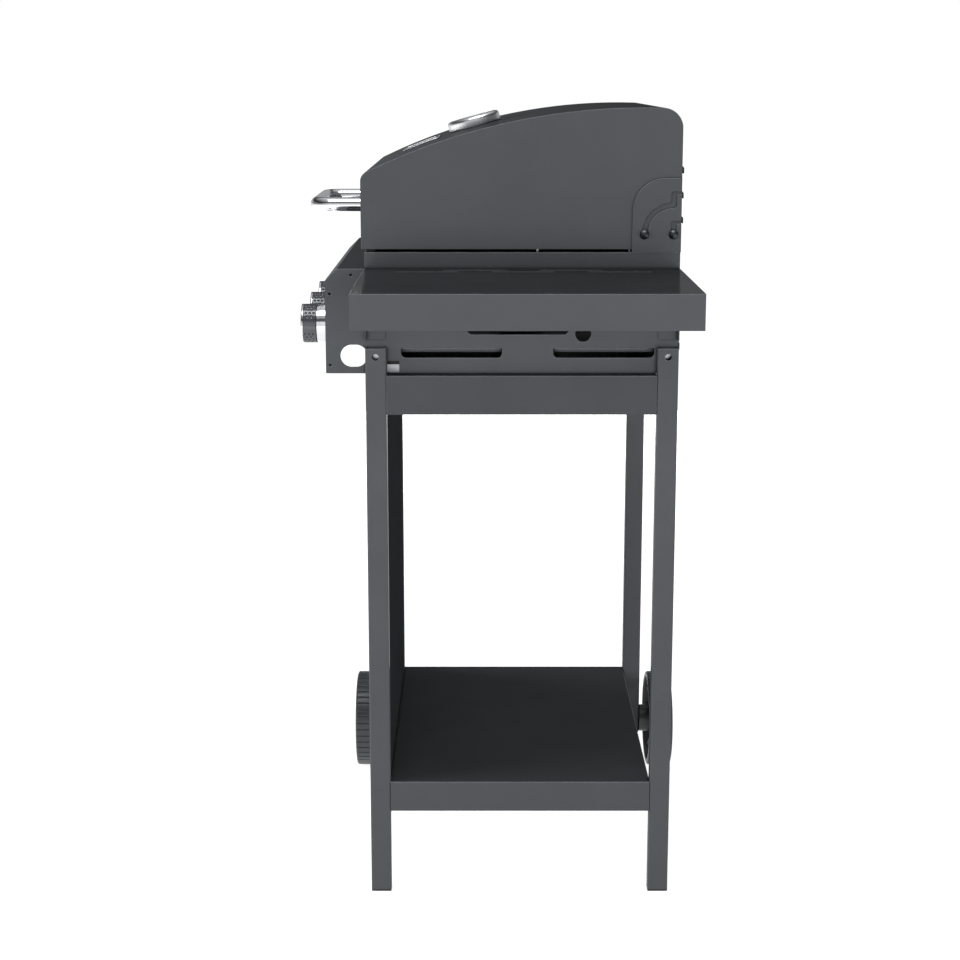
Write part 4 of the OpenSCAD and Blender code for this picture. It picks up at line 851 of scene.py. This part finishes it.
def make_world():
    """White for what the camera and glass see, a low even light, and for reflections a studio:
    pale up to 13 degrees over the horizon, dark above that, paler again overhead, and all of it
    darker towards the front and rear and at the far left."""
    world = bpy.data.worlds.new("studio")
    bpy.context.scene.world = world
    world.use_nodes = True
    world.node_tree.nodes.clear()
    n = Nodes(world.node_tree)
    path = n.add("ShaderNodeLightPath").outputs
    seen = n.calculate("MAXIMUM", path["Is Camera Ray"], path["Is Transmission Ray"])
    white = n.add("ShaderNodeBackground", {"Color": WHITE, "Strength": 1.0})
    light = n.add("ShaderNodeBackground", {"Color": WHITE, "Strength": LIGHT_LEVEL})
    generated = n.add("ShaderNodeTexCoord").outputs["Generated"]
    toward = n.add("ShaderNodeSeparateXYZ", {0: generated}).outputs
    brightness = n.add("ShaderNodeValToRGB", {"Fac": toward["Z"]})
    points = brightness.color_ramp.elements
    while len(points) < len(STUDIO_STEPS):
        points.new(0.5)
    for point, (where, value) in zip(points, STUDIO_STEPS):
        point.position, point.color = where, (value, value, value * STUDIO_BLUE, 1)
    depth = n.spread(n.calculate("ABSOLUTE", toward["Y"]), 0.3, 0.9, 1.0, 0.22)
    far_left = n.spread(toward["X"], -0.97, -0.75, 0.4, 1.0)
    level = n.calculate("MULTIPLY", depth, far_left)
    studio = n.add("ShaderNodeBackground", {"Color": brightness.outputs[0], "Strength": level})
    plain = n.add("ShaderNodeMixShader", {
        0: path["Is Glossy Ray"], 1: light.outputs[0], 2: studio.outputs[0]})
    mixed = n.add("ShaderNodeMixShader", {0: seen, 1: plain.outputs[0], 2: white.outputs[0]})
    n.feed(n.add("ShaderNodeOutputWorld").inputs["Surface"], mixed.outputs[0])


def make_floor():
    """Pale floor: a diffuse sheet with a glow that the camera sees, and reflections less of it.
    The glow is weaker under the grill, so that light and shade show there."""
    material = bpy.data.materials.new("pale_floor")
    material.use_nodes = True
    material.node_tree.nodes.clear()
    n = Nodes(material.node_tree)
    path = n.add("ShaderNodeLightPath").outputs
    seen = n.calculate("MAXIMUM", path["Is Camera Ray"], path["Is Transmission Ray"])
    seen = n.calculate("MAXIMUM", seen, n.calculate("MULTIPLY", path["Is Glossy Ray"], 0.7))
    plain = n.add("ShaderNodeBsdfDiffuse", {"Color": (0.8, 0.8, 0.8, 1)})
    place = n.add("ShaderNodeTexCoord").outputs["Object"]
    away = n.add("ShaderNodeVectorMath", {0: place}, operation="LENGTH").outputs["Value"]
    fill = n.spread(away, 0.8, 2.4, 0.82, 1.0)
    glow = n.add("ShaderNodeEmission", {
        "Color": WHITE, "Strength": n.calculate("MULTIPLY", seen, fill)})
    both = n.add("ShaderNodeAddShader", {0: plain.outputs[0], 1: glow.outputs[0]})
    n.feed(n.add("ShaderNodeOutputMaterial").inputs["Surface"], both.outputs[0])
    signs = ((-1, -1), (1, -1), (1, 1), (-1, 1))
    corners = [(x * FLOOR_REACH, y * FLOOR_REACH, 0) for x, y in signs]
    mesh = bpy.data.meshes.new("floor")
    mesh.from_pydata(corners, [], [(0, 1, 2, 3)])
    mesh.materials.append(material)
    floor = bpy.data.objects.new("floor", mesh)
    bpy.context.scene.collection.objects.link(floor)


def softbox(name, place, target, width, height, power):
    """A rectangular lamp that faces a target. It lights surfaces but isn't seen or reflected."""
    lamp = bpy.data.lights.new(name, "AREA")
    lamp.shape, lamp.size, lamp.size_y, lamp.energy = "RECTANGLE", width, height, power
    lamp.cycles.max_bounces = 4
    box = bpy.data.objects.new(name, lamp)
    box.location = place
    box.rotation_euler = (Vector(target) - Vector(place)).to_track_quat("-Z", "Y").to_euler()
    bpy.context.scene.collection.objects.link(box)
    box.visible_camera = box.visible_glossy = False
    return box


make_camera()
make_world()
make_floor()
softbox("box_right", (3.6, 0.0, 0.8), (0, 0, 0.8), width=4.0, height=1.2, power=74.0)
softbox("box_left", (-3.6, 0.0, 0.45), (0, 0, 0.45), width=4.0, height=0.9, power=56.0)
softbox("box_front", (0.0, -3.6, 1.3), (0, 0, 1.3), width=4.0, height=1.2, power=150.0)
softbox("box_rear", (0.0, 3.6, 0.45), (0, 0, 0.45), width=4.0, height=0.9, power=66.0)
softbox("ceiling", (0.0, 0.0, 3.3), (0, 0, 0.9), width=2.2, height=2.2, power=2.0)
# A card that is only reflected
card = softbox("card_above", (1.0, 0.0, 3.4), (0, 0, 0.9), width=2.2, height=1.5, power=58.0)
card.visible_glossy, card.visible_diffuse = True, False

scene = bpy.context.scene
scene.view_settings.view_transform = "Standard"
